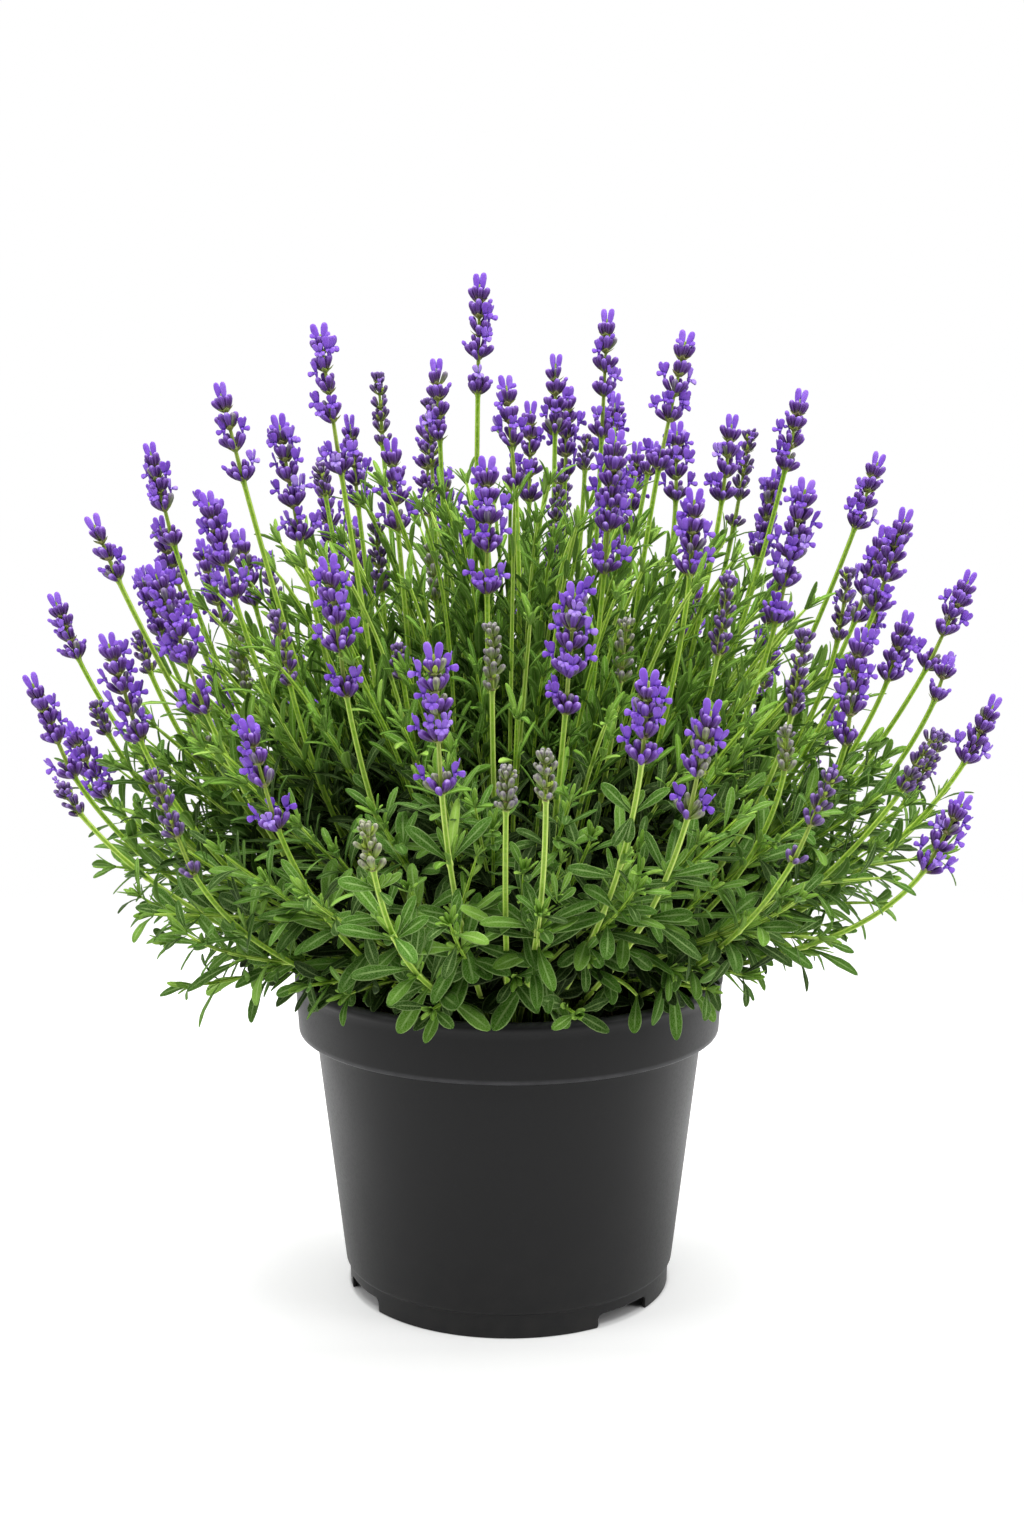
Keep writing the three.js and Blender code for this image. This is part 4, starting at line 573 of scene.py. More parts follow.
def mat_pot(name):
    n = Nodes(name)
    big = n.noise(14, 3.0, 0.5); grain = n.noise(2600, 2.0, 0.6); fleck = n.noise(600, 3.0, 0.6)
    col = n.ramp(big, [(0.3, (11, 11, 12)), (0.7, (15, 15, 16))])
    col = n.mix(n.val(fleck, [(0.58, 0.0), (0.8, 0.10)]), col, lin((58, 58, 60)))
    # a little dried dust near the foot
    sp = n.new("ShaderNodeSeparateXYZ"); n.link(n.obj(), sp.inputs[0])
    z = sp.outputs[2]
    low = n.val(n.math("DIVIDE", z, 0.06), [(0.0, 0.08), (0.35, 0.04), (1.0, 0.0)])
    col = n.mix(n.math("MULTIPLY", low, n.val(n.noise(80, 3.0), [(0.4, 0.0), (0.7, 1.0)])), col, lin((70, 66, 60)))
    rough = n.math("ADD", n.val(big, [(0.3, 0.40), (0.7, 0.47)]), n.val(fleck, [(0.45, 0.0), (0.8, 0.08)]))
    # the edges of the lip and of the rim band are smoother, and paler in colour: a painted highlight line along each
    zz = n.math("DIVIDE", z, 0.2)
    edge_highlight_polish = n.val(zz, [(0.7105, 0.0), (0.7130, 0.5), (0.7200, 0.5), (0.7260, 0.0), (0.8600, 0.0), (0.8660, 0.5), (0.8720, 1.0)])
    edge_highlight_polish = n.math("MULTIPLY", edge_highlight_polish, n.val(n.noise(120, 3.0), [(0.3, 0.5), (0.65, 1.0)]))
    col = n.mix(n.math("MULTIPLY", edge_highlight_polish, 0.50), col, lin((104, 104, 108)))
    rough = n.math("SUBTRACT", rough, n.math("MULTIPLY", edge_highlight_polish, 0.14))
    nrm = n.bump(grain, 0.20, 0.00012)
    return n.shade(col, rough, nrm, spec=0.255)

M_LEAF = mat_leaf("leaf_green", (3, 12, 1), (28, 60, 6), (62, 108, 18), (124, 166, 62), (184, 212, 138), (106, 142, 70))
M_LEAF_UP = mat_leaf("leaf_upper_green", (8, 28, 2), (68, 112, 18), (110, 156, 44), (160, 198, 86), (184, 212, 130), (118, 154, 76), 0.3)
M_STALK = mat_stalk("stalk_green")
M_CALYX = mat_calyx("calyx_violet")
M_COROLLA = mat_corolla("corolla_violet")
M_BRACT = mat_bract("bract_green")
M_BARK = mat_bark("bark_brown")
M_COMPOST = mat_compost("compost_dark")
M_CHIP = mat_chip("compost_chips")
M_POT = mat_pot("pot_plastic_dark")
FLOWER_MATS = [M_STALK, M_CALYX, M_COROLLA, M_BRACT, M_LEAF_UP, M_LEAF]
STK, CAL, COR, BRA, LUP, LLO = range(6)

# ---------------------------------------------------------------- outlines (place along, half width)
T_NARROW, O_NARROW = [0.0, 0.14, 0.36, 0.62, 0.84, 0.955], [0.34, 0.52, 0.86, 1.0, 0.80, 0.44]
T_BROAD, O_BROAD = [0.0, 0.12, 0.28, 0.45, 0.62, 0.77, 0.89, 0.965], [0.17, 0.24, 0.50, 0.82, 1.0, 0.96, 0.70, 0.40]
T_LOBE, O_LOBE = [0.0, 0.26, 0.55, 0.80, 0.95], [0.46, 0.70, 0.99, 1.0, 0.62]
T_EAR, O_EAR = [0.0, 0.20, 0.48, 0.74, 0.90, 0.975], [0.38, 0.60, 0.92, 1.0, 0.82, 0.48]
T_BRACT, O_BRACT = [0.0, 0.25, 0.55, 0.85], [0.55, 1.0, 0.82, 0.30]
T_CALYX, R_CALYX = [0.0, 0.10, 0.28, 0.50, 0.72, 0.88, 0.97], [0.30, 0.46, 0.68, 0.88, 1.0, 0.84, 0.46]

ENV_Z = [150, 168, 190, 215, 240, 280, 320, 360, 400, 440, 480]
ENV_R = [140, 165, 215, 236, 240, 226, 200, 168, 120, 60, 20]
def bush_shade_depth(M):
    """0 on the outside of the bush of leaves, 1 deep inside it: how much painted shade a leaf gets."""
    r = np.hypot(M[:, 0], M[:, 1] * 1.06); z = M[:, 2]
    side = np.interp(z, ENV_Z, ENV_R) - r
    top = np.interp(r, ENV_R[::-1], ENV_Z[::-1]) - z
    d = np.clip(np.minimum(side * 0.8, top) / 85.0, 0, 1) * np.interp(z, [235, 330], [1.0, 0.50])
    # leaves low down over the rim and the soil get the painted shade too
    low = np.clip((RIM_Z + 30 - z) / 30.0, 0, 1) * np.clip((128 - r) / 25.0, 0, 1)
    d = np.maximum(d, low)
    return d * d * (3 - 2 * d)

# ---------------------------------------------------------------- leaves kept clear of the pot, the soil and the box
def leaf_points(P, D, U, L, bend, side=0.0):
    S, N, D = frames(D, U)
    out = []
    fine = np.linspace(0, 1, 9); pos = np.zeros_like(P); prev = None
    for t in fine:
        phi = bend * t ** 1.25; psi = side * t
        st = (np.cos(phi) * np.cos(psi))[:, None] * D - np.sin(phi)[:, None] * N + (np.cos(phi) * np.sin(psi))[:, None] * S
        if prev is not None: pos = pos + (st + prev) / 2 * (L / 8)[:, None]
        prev = st; out.append(P + pos)
    return np.stack(out, 1)

def clear(P, D, U, L, W, bend, side):
    pts = leaf_points(P, D, U, L, bend, side)
    r = np.hypot(pts[..., 0], pts[..., 1]); z = pts[..., 2]
    w = np.clip(W / 2, 1, 4)[:, None] * 0.7
    bad = ((r > 101) & (r < 118) & (z < RIM_Z + 1.2 + w * 0.6)).any(1)
    bad |= ((r <= 101) & (z < SOIL_Z + 1.0)).any(1)
    bad |= ((r >= 118) & (r - 116.0 < 1.0 + w * 0.5) & (z < RIM_Z + 1)).any(1)
    bad |= (np.abs(pts[..., 0]) > LIMIT_X).any(1) | (pts[..., 1] > LIMIT_YB).any(1) | (pts[..., 1] < -LIMIT_YF).any(1)
    bad |= (z < 128).any(1)
    bad |= ((r >= 116) & (r < 150) & (z < np.where((np.abs(pts[..., 0]) < 95) & (pts[..., 1] < 0), 173.0, 158.0))).any(1)
    return ~bad

def settle(rng, P, D, U, L, W, bend, side):
    """Turns or shortens the leaves that would cut the pot, the soil or the box, and drops those that still do."""
    ok = clear(P, D, U, L, W, bend, side)
    for k in range(5):
        i = np.where(~ok)[0]
        if len(i) == 0: break
        D[i] = unit(D[i] + np.array([0, 0, 0.30]) + rng.normal(0, 0.15, (len(i), 3)))
        L[i] *= 0.90; bend[i] *= 0.6
        ok[i] = clear(P[i], D[i], U[i], L[i], W[i], bend[i], side[i])
    return ok

class Leaves:
    """Collects leaves for one piece, then makes them in two classes."""
    def __init__(self): self.rows = []
    def add(self, p, d, u, L, W, bend, fold, twist, side, rnd, broad):
        self.rows.append((*p, *d, *u, L, W, bend, fold, twist, side, rnd, 1.0 if broad else 0.0))
    def groups(self, rng, m_narrow, m_broad, keep_all=False):
        if not self.rows: return []
        a = np.array(self.rows)
        P, D, U = a[:, 0:3], a[:, 3:6].copy(), a[:, 6:9]
        L, W, bend, fold, twist, side, rnd, broad = [a[:, 9 + k].copy() for k in range(8)]
        ok = np.ones(len(a), bool) if keep_all else settle(rng, P, D, U, L, W, bend, side)
        # leaves deep in the bush, and low over the soil, are given darker colours: a painted shade
        inside = bush_shade_depth(P + D * (L * 0.6)[:, None])
        rnd = (0.13 + 0.87 * rnd) * (1 - inside) + 0.06 * rnd * inside
        out = []
        for flag, tt, oo, K, mat, th in ((0, T_NARROW, O_NARROW, 4, m_narrow, 0.6), (1, T_BROAD, O_BROAD, 8, m_broad, 0.65)):
            i = ok & (broad == flag)
            if i.any():
                out.append(plates(P[i], D[i], U[i], L[i], W[i], th, tt, oo, K, mat, rnd[i], bend=bend[i], fold=fold[i], twist=twist[i], side=side[i],
                                  roll=0.10 if flag else 0.05, wave=0.10 if flag else 0.04))
        return out

def dress(rng, leaves, path, s_from, s_to, pitch, size, az0, tuft=True, tone=0.0, dens=1.0):
    """Opposite pairs of leaves along a shoot, each turned a quarter from the last, with small leaves in their axils and a tuft at the tip.
    size(z, f) gives length, width, opening and whether the leaf is broad."""
    n = max(2, int((s_to - s_from) / pitch)); ss = np.linspace(s_from, s_to, n)
    for q, s in enumerate(ss):
        f = q / (n - 1); p = path.at(s)[0]; d = path.dir(s)[0]
        S, N, _ = frames(d[None], np.array([[0.1, -0.95, 0.3]])); S, N = S[0], N[0]
        az = az0 + (q % 2) * math.pi / 2 + rng.normal(0, 0.18)
        for h in (0, 1):
            if rng.random() > dens: continue
            a = az + h * math.pi + rng.normal(0, 0.12)
            sd = S * math.cos(a) + N * math.sin(a)
            L, W, op, broad = size(p[2], f)
            L *= rng.uniform(0.82, 1.15); W *= rng.uniform(0.85, 1.12); op *= rng.uniform(0.8, 1.2)
            D = unit(d * math.cos(op) + sd * math.sin(op)); D = unit(D + np.array([0, 0, rng.normal(0.02, 0.10)]))
            U = d + 0.35 * np.array([0, 0, 1.0]) - 0.2 * sd
            leaves.add(p + sd * 0.9, D, U, L, W, rng.uniform(0.15, 0.85), rng.uniform(0.10, 0.34), rng.normal(0, 0.28), rng.normal(0, 0.18), np.clip(rng.normal(0.5 + tone, 0.22), 0, 1), broad)
            if rng.random() < 0.55:
                k = rng.integers(1, 3)
                for _ in range(k):
                    a2 = a + rng.normal(0, 0.5); s2 = S * math.cos(a2) + N * math.sin(a2); o2 = op * rng.uniform(0.35, 0.7)
                    D2 = unit(d * math.cos(o2) + s2 * math.sin(o2))
                    leaves.add(p + s2 * 0.9 + d * 0.8, D2, U, L * rng.uniform(0.3, 0.5), W * rng.uniform(0.4, 0.55), rng.uniform(0.0, 0.5), 0.3, rng.normal(0, 0.2), rng.normal(0, 0.15),
                               np.clip(rng.normal(0.72 + tone, 0.15), 0, 1), False)
    if tuft:
        p = path.at(s_to)[0]; d = path.dir(s_to)[0]; S, N, _ = frames(d[None], np.array([[0.1, -0.95, 0.3]])); S, N = S[0], N[0]
        for k in range(6 if tuft != 2 else 4):
            a = az0 + k * math.pi / (3 if tuft != 2 else 2) + rng.normal(0, 0.3); sd = S * math.cos(a) + N * math.sin(a); op = rng.uniform(0.12, 0.55) if tuft != 2 else rng.uniform(0.06, 0.34)
            L, W, _, broad = size(p[2], 1.0)
            leaves.add(p + sd * 0.4, unit(d * math.cos(op) + sd * math.sin(op)), d - sd * 0.3, L * rng.uniform(0.4, 0.75), W * rng.uniform(0.5, 0.75), rng.uniform(-0.1, 0.4), 0.35,
                       rng.normal(0, 0.2), rng.normal(0, 0.15), np.clip(rng.normal(0.72 + tone, 0.15), 0, 1), False)

def leaf_size(z, f):
    """Broad leaves low down, narrow ones higher up."""
    k = min(1, max(0, (z - 195) / 150))
    L = 30.5 - 3.5 * k; W = 8.4 - 3.7 * k; op = 1.0 - 0.50 * k
    taper = 1 - 0.38 * max(0, (f - 0.55) / 0.45)
    return L * taper, W * taper, op * (1 - 0.25 * f), W > 6.1

# ---------------------------------------------------------------- flower stems
def turn(v, axis, ang):
    axis = unit(axis)
    c, s = np.cos(ang)[..., None], np.sin(ang)[..., None]
    return v * c + np.cross(axis, v) * s + axis * (axis * v).sum(-1, keepdims=True) * (1 - c)

class Heads:
    """Collects calyces, corollas and bracts for one piece."""
    def __init__(self): self.cal = []; self.cor = []; self.ear = []; self.bra = []; self.nod = []; self.bud = []; self.gre = []
    def groups(self):
        out = []
        if self.cal:
            a = np.array(self.cal)
            out.append(bodies(a[:, 0:3], a[:, 3:6], a[:, 6:9], a[:, 9], a[:, 10], T_CALYX, R_CALYX, 10 if len(a) < 160 else 8, CAL, a[:, 11], a[:, 12], bend=a[:, 13], flat=0.92, rib=0.035))
        if self.bud:
            a = np.array(self.bud)
            out.append(bodies(a[:, 0:3], a[:, 3:6], a[:, 6:9], a[:, 9], a[:, 10], [0.0, 0.25, 0.6, 0.88], [0.55, 0.8, 1.0, 0.66], 6, COR, a[:, 11], a[:, 12], bend=0.2, flat=0.95, rib=0.0))
        if self.cor:
            a = np.array(self.cor); P, o, s, ax, sc, rn, tn, gam, fo, full = a[:, 0:3], a[:, 3:6], a[:, 6:9], a[:, 9:12], a[:, 12], a[:, 13], a[:, 14], a[:, 15], a[:, 16:19], a[:, 19]
            w = np.cross(s, fo)
            td = unit(ax * 0.75 + s * 0.35)
            out.append(bodies(P - ax * 1.2, td, s, 3.6 * sc, 1.9 * sc, [0.0, 0.4, 0.8, 1.0], [0.62, 0.66, 0.92, 1.15], 6, COR, rn * 0.5, tn, bend=0.25, flat=1.0, rib=0.0, mouth=0.5))
            M = P + td * (2.3 * sc)[:, None]
            # upper lip: two lobes, joined along the middle and folded towards each other
            for h in (-1, 1):
                nrm = unit(turn(fo, s, h * gam)); sd = unit(np.cross(s, nrm)) * h
                dirn = unit(s * 0.95 + o * 0.30 + sd * (0.10 + 0.22 * rn)[:, None])
                out.append(plates(M + sd * (0.80 * sc)[:, None] - fo * 0.2, dirn, nrm, UPPER_LOBE[0] * sc, UPPER_LOBE[1] * 0.86 * sc, 0.55, T_LOBE, O_LOBE, 6, COR, rn, tn, bend=-0.10 + 0.35 * rn, fold=0.10, under=False, wave=0.08))
            # lower lip: two side lobes and a middle one, spread outwards
            for h, lw, ll in ((-1, 1.0, 0.45 + 0.55 * full), (1, 1.0, 0.45 + 0.55 * full), (0, 1.0, 1.0 - 0.25 * full)):
                dirn = unit(fo * (0.34 if h else 0.62) + w * (0.92 * h) - s * (0.16 if h else 0.72)); nrm = unit(s * 0.32 + fo * 0.9)
                if h == 0:
                    # on a flower seen from the side the lip stands out sideways
                    nf = unit(fo - (fo * o).sum(-1, keepdims=True) * o); F1 = full[:, None]
                    dirn = unit(F1 * dirn + (1 - F1) * unit(o * 0.92 + nf * 0.2 - s * 0.05)); nrm = unit(F1 * nrm + (1 - F1) * unit(nf * 0.85 + s * 0.35))
                out.append(plates(M - s * 0.3 + fo * 0.35, dirn, nrm, LOWER_LOBE[0] * sc * ll, LOWER_LOBE[1] * sc * lw * (0.5 + 0.5 * full if h else 1.0), 0.5, T_LOBE, O_LOBE, 6, COR, np.clip(rn + 0.10, 0, 1), tn, bend=0.45, fold=-0.10, under=False, wave=0.10))
        if self.ear:
            a = np.array(self.ear)
            out.append(plates(a[:, 0:3], a[:, 3:6], a[:, 6:9], a[:, 9], a[:, 10], a[:, 11], T_EAR, O_EAR, 8, COR, a[:, 12], a[:, 13], bend=0.12, fold=0.10, under=False))
        if self.bra:
            a = np.array(self.bra)
            out.append(plates(a[:, 0:3], a[:, 3:6], a[:, 6:9], a[:, 9], a[:, 10], 0.4, T_BRACT, O_BRACT, 6, BRA, a[:, 11], 0.0, bend=-0.5, fold=0.3, under=False))
        if self.gre:
            a = np.array(self.gre)
            out.append(bodies(a[:, 0:3], a[:, 3:6], a[:, 6:9], a[:, 9], a[:, 10], [0.0, 0.25, 0.6, 0.9], [0.45, 0.85, 1.0, 0.55], 6, BRA, a[:, 11] * 0.25, 1.0, bend=0.15, flat=0.8, rib=0.0))
        if self.nod:
            a = np.array(self.nod)
            out.append(bodies(a[:, 0:3], a[:, 3:6], [0, -1, 0], a[:, 6], a[:, 7], [0.0, 0.3, 0.7, 1.0], [0.45, 0.85, 1.0, 0.7], 8, BRA, a[:, 8], 0.0, flat=1.0, rib=0.0))
        return out

TONES = {"b": 0.0, "v": 0.0, "f": 0.42, "p": 0.80, "g": 1.0}

def whorl_places(main, n_min=2):
    """Distances of the whorls' feet from the tip: close together at the top, further apart lower down."""
    best = None
    for n in range(n_min, 9):
        d = [15.0]; step = 7.2
        for _ in range(n - 1): d.append(d[-1] + step); step *= 1.25
        if best is None or abs(d[-1] - main) < abs(best[-1] - main): best = d
    d = np.array(best)
    if len(d) > 1: d = d[0] * (0.85 if main < 34 else 1.0) + (d - d[0]) / (d[-1] - d[0]) * (main - d[0] * (0.85 if main < 34 else 1.0))
    return d

def flower(rng, H, G, leaves, row, low_detail=False):
    node, kind, wf, mf, C = row
    C = [np.array(c, float) for c in C]
    head = np.linalg.norm(C[4] - C[3])
    pts = bezier(C, np.linspace(0, 1, 70))
    d0 = unit(pts[1] - pts[0])
    pts = np.vstack([pts[0] - d0 * 3.0, pts, C[3] + (C[4] - C[3]) * np.linspace(0.12, 1.0, 10)[:, None]])
    # the corner where the head joins is eased
    for _ in range(3): pts[1:-1] = pts[1:-1] * 0.5 + (pts[:-2] + pts[2:]) * 0.25
    path = Path(pts); total = path.length
    # stems nearer the front get lighter stalk colours and those further back darker ones, with a little random spread:
    # painted light and shade
    rnd = float(np.clip(np.interp(C[1][1], [-110, 10], [0.9, 0.25]) + rng.normal(0, 0.12), 0, 1))
    tone = TONES[kind]
    ear_len = EAR[0] * (0.75 if kind in "fpg" and wf < 1.1 else 1.0) * min(1.0, 0.55 + 0.45 * wf)
    main = max(20.0, head * mf)
    feet = whorl_places(main)
    if kind in "fpg":
        if not (kind == "p" and wf > 1.1):
            n = max(4, int(main / (6.2 if kind == "f" else 5.6))); feet = np.linspace(7.5, main, n); feet[1:-1] += rng.uniform(-1.1, 1.1, n - 2)
    feet = list(feet)
    if mf < 0.97: feet.append(head + 4.0)
    sw = []
    r_low = STALK_R_LOW * (0.92 + 0.1 * rng.random()); r_top = STALK_R_TOP
    # leaf pairs on the lower stalk
    s_head = total - feet[-1]
    nodes = []
    s = 26 + rng.uniform(0, 14)
    while s < s_head * 0.80:
        nodes.append(s); s += rng.uniform(34, 50)
    sw = [q for q in nodes] + [s_head]
    G.append(stalk(path, 0.0, total - feet[-1] + 0.5, r_low, r_top * 1.05, 12, STK, rnd, step=6.0, swell=sw))
    G.append(stalk(path, total - feet[-1], total - ear_len * 0.75, r_top, 0.7, 8, STK, rnd, step=4.0, tone=0.65, chunk=6))
    for q, s in enumerate(nodes):
        p = path.at(s)[0]; d = path.dir(s)[0]
        S, N, _ = frames(d[None], np.array([[0.0, -1.0, 0.2]])); S, N = S[0], N[0]
        z = p[2]; k = min(1, max(0, (z - 190) / 150))
        az = (q % 2) * math.pi / 2 + rng.normal(0.25, 0.35)
        for h in (0, 1):
            a = az + h * math.pi; sd = S * math.cos(a) + N * math.sin(a)
            L = rng.uniform(0.85, 1.15) * (31 - 8 * k); W = rng.uniform(0.9, 1.1) * (8.2 - 4.8 * k); op = rng.uniform(0.55, 0.95)
            D = unit(d * math.cos(op) + sd * math.sin(op))
            leaves.add(p + sd * 1.0, D, d + 0.2 * np.array([0, 0, 1.0]), L, W, rng.uniform(0.2, 0.7), 0.25, rng.normal(0, 0.2), rng.normal(0, 0.12), np.clip(rng.normal(0.6, 0.18), 0, 1), W > 5.8)
            for _ in range(2):
                o2 = op * rng.uniform(0.3, 0.6); a2 = a + rng.normal(0, 0.4); s2 = S * math.cos(a2) + N * math.sin(a2)
                leaves.add(p + s2 * 1.0 + d * 0.8, unit(d * math.cos(o2) + s2 * math.sin(o2)), d, L * rng.uniform(0.32, 0.5), W * rng.uniform(0.4, 0.55), rng.uniform(0, 0.4), 0.3, rng.normal(0, 0.2), 0.0,
                           np.clip(rng.normal(0.8, 0.12), 0, 1), False)
    nw = len(feet)
    out_dir = np.array([C[4][0], C[4][1], 0.0]); far = C[4][1] > 70
    front = unit(out_dir) if far else np.array([0.0, -1.0, 0.0])
    yaw0 = math.radians(rng.normal(0, 7))
    for k, dist in enumerate(feet):
        s = total - dist
        p = path.at(s)[0]; ax = path.dir(s, 3.0)[0]
        F = front - (front @ ax) * ax; F = F / np.linalg.norm(F)
        E1 = np.cross(ax, F) * -1.0
        lower = k / max(1, nw - 1)
        apart = k == nw - 1 and mf < 0.97
        # azimuth (0 and 180 at the sides, -90 at the front), tilt, how far up, size, light
        if kind in "bv" or (kind == "p" and wf > 1.1):
            size = 0.80 + 0.205 * wf
            if k == 0: rows = [(0, 35, 0, 1.0, 0), (180, 35, 0, 1.0, 0), (-56, 19, 0.9, 0.84, 0), (-124, 19, 0.9, 0.84, 0), (90, 28, 0, 0.92, 0), (40, 20, 0.5, 0.82, 0)]
            elif k == 1: rows = [(0, 39, 0, 1.0, 0), (180, 39, 0, 1.0, 0), (-90, 24, 0.3, 0.98, 1), (-40, 24, 0.9, 0.86, 0), (-140, 24, 0.9, 0.86, 0), (90, 30, 0, 0.94, 0), (140, 24, 0.6, 0.85, 0)]
            elif k == 2: rows = [(0, 46, 0, 1.04, 0), (180, 46, 0, 1.04, 0), (-42, 32, 0.9, 0.94, 0), (-138, 32, 0.9, 0.94, 0), (-90, 46, 0, 0.88, 1), (90, 44, 0, 0.92, 0), (28, 22, 3.0, 0.8, 0), (150, 22, 3.0, 0.8, 0)]
            else:
                # a wide cup of calyces with a second, smaller tier above it
                rows = [(0, 51, 0, 1.06, 0), (180, 51, 0, 1.06, 0), (-44, 36, 0.5, 0.98, 0), (-136, 36, 0.5, 0.98, 0), (90, 50, 0, 0.9, 0), (38, 28, 1.2, 0.95, 0), (142, 28, 1.2, 0.95, 0)]
                rows += [(-90, 50, 0, 0.86, 1)] if rng.random() < 0.6 else [(-66, 50, 0, 0.84, 1), (-114, 50, 0, 0.84, 1)]
                rows += [(-14, 22, 4.6, 0.76, 0), (-166, 22, 4.6, 0.76, 0)]
                if rng.random() < 0.4: rows += [(-90, 20, 5.0, 0.72, 0)]
        elif kind == "f":
            size = (0.74 + 0.12 * min(1, lower * 1.5)) * (0.8 + 0.2 * wf)
            t = 45 if k % 2 else 0
            rows = [(0 + t, 44, 0, 1, 0), (180 + t, 44, 0, 1, 0), (-90 + t, 48, 0, 0.9, 0), (90 + t, 48, 0, 0.9, 0), (45 + t, 24, 1.6, 0.85, 0), (-135 + t, 24, 1.6, 0.85, 0)]
        else:
            size = (0.72 + 0.16 * min(1, lower * 1.5)) * (0.75 + 0.25 * wf)
            t = rng.uniform(0, 60)
            rows = [(q * 60 + t + rng.normal(0, 9), rng.normal(40, 9), rng.uniform(-0.8, 1.2), rng.uniform(0.78, 1.16), 0) for q in range(6) if rng.random() < 0.86]
        H.nod.append((*(p - ax * 1.0), *ax, 2.4 * size, (4.4 if apart or lower > 0.5 else 3.6) * size, np.clip(rng.normal(0.35, 0.2), 0, 1)))
        phi0 = rng.normal(0, 8) + (0 if k % 2 else 14) * (1 if kind in "bvp" else 0)
        for az, tl, up, sf, light in rows:
            if rng.random() < 0.04: continue
            a = math.radians(az + phi0 + rng.normal(0, 7)) + yaw0
            o = E1 * math.cos(a) - F * math.sin(a)
            tilt = math.radians(tl + rng.normal(0, 5))
            cd = ax * math.cos(tilt) + o * math.sin(tilt)
            L = CALYX_L * size * sf * rng.uniform(0.94, 1.07); W = CALYX_W * size * sf * rng.uniform(0.94, 1.06)
            base = p + o * 1.15 + ax * (up + rng.normal(0, 0.45))
            bend = math.radians(rng.uniform(16, 30) if tl > 28 else rng.uniform(2, 10))
            tn = tone + rng.normal(0, 0.05)
            if kind == "p" and wf > 1.1: tn = (0.86 if (light and k < 3) or up > 1 or rng.random() < 0.2 else 0.10)
            elif kind == "b" and rng.random() < 0.08: tn = 0.6
            elif kind == "v" and rng.random() < 0.05: tn = 0.7
            tn = float(np.clip(tn, 0, 1)); rn = np.clip(rng.normal(0.72, 0.22), 0, 1) if not light else rng.uniform(0.05, 0.35)
            H.cal.append((*base, *cd, *ax, L, W, rn, tn, bend))
            side_on = abs(math.cos(a - yaw0))
            pr = 0.0
            if kind == "b":
                pr = 0.80 if side_on > 0.8 and up < 1 else 0.10
                if light: pr = 0.40 if wf > 1.1 else 0.10
                if k == 0: pr = 0.18 if side_on > 0.9 else 0.0
                if k == 1: pr *= 0.6
            elif kind == "v": pr = 0.0 if k < 2 else (0.55 if side_on > 0.8 and up < 1 else 0.06)
            elif kind == "p" and wf > 1.1: pr = 0.0 if k == 0 else (0.75 if side_on > 0.8 and up < 1 else 0.10)
            elif kind == "f": pr = 0.03
            dend = unit(cd * math.cos(bend) + unit(ax - (ax @ cd) * cd) * math.sin(bend))
            tipp = base + unit(cd + dend) * L
            if rng.random() < pr:
                gam = math.radians(rng.uniform(14, 34)); sc = 0.94 * size * rng.uniform(0.90, 1.10) * (1.0 if kind != "f" else 0.75) * (1.12 if side_on > 0.8 and up < 1 else 0.88)
                fo = unit(o * rng.uniform(0.35, 0.9) + F * (rng.uniform(0.2, 0.9) * side_on) + E1 * rng.normal(0, 0.18))
                fo = unit(fo - (fo @ ax) * ax)
                H.cor.append((*tipp, *o, *ax, *dend, sc, np.clip(rng.normal(0.5, 0.25), 0, 1), 0.0 if kind in "bvp" else 0.6, gam, *fo, 0.0 if side_on > 0.8 else 1.0))
            elif kind in "bvp" and rng.random() < (0.30 if side_on > 0.8 and up < 1 and k > 0 else 0.05) and not (kind == "p" and wf < 1.1):
                # a corolla that is still shut, or half open
                H.bud.append((*(tipp - dend * 1.4), *unit(dend + o * 0.5), *ax, rng.uniform(3.0, 4.2) * size, 2.7 * size, rng.uniform(0.3, 0.8), 0.0))
        if kind in "fpg":
            for q in range(3):
                if rng.random() < 0.55:
                    a = rng.uniform(0, 6.283); o = E1 * math.cos(a) - F * math.sin(a); t2 = rng.uniform(0.5, 0.9)
                    H.gre.append((*(p + o * 1.3 + ax * 0.8), *unit(ax * math.cos(t2) + o * math.sin(t2)), *ax, rng.uniform(3.6, 5.2) * size, rng.uniform(2.0, 2.7) * size, rng.random()))
        for az in (0, 180, 90, -90):
            a = math.radians(az + phi0) + yaw0; o = E1 * math.cos(a) - F * math.sin(a)
            cd = unit(ax * 0.45 + o * 0.9)
            H.bra.append((*(p - ax * 0.6 + o * 0.7), *cd, *ax, 5.0 * size * (1.0 if az in (0, 180) else 0.8), 3.3 * size, np.clip(rng.normal(0.45, 0.25), 0, 1)))
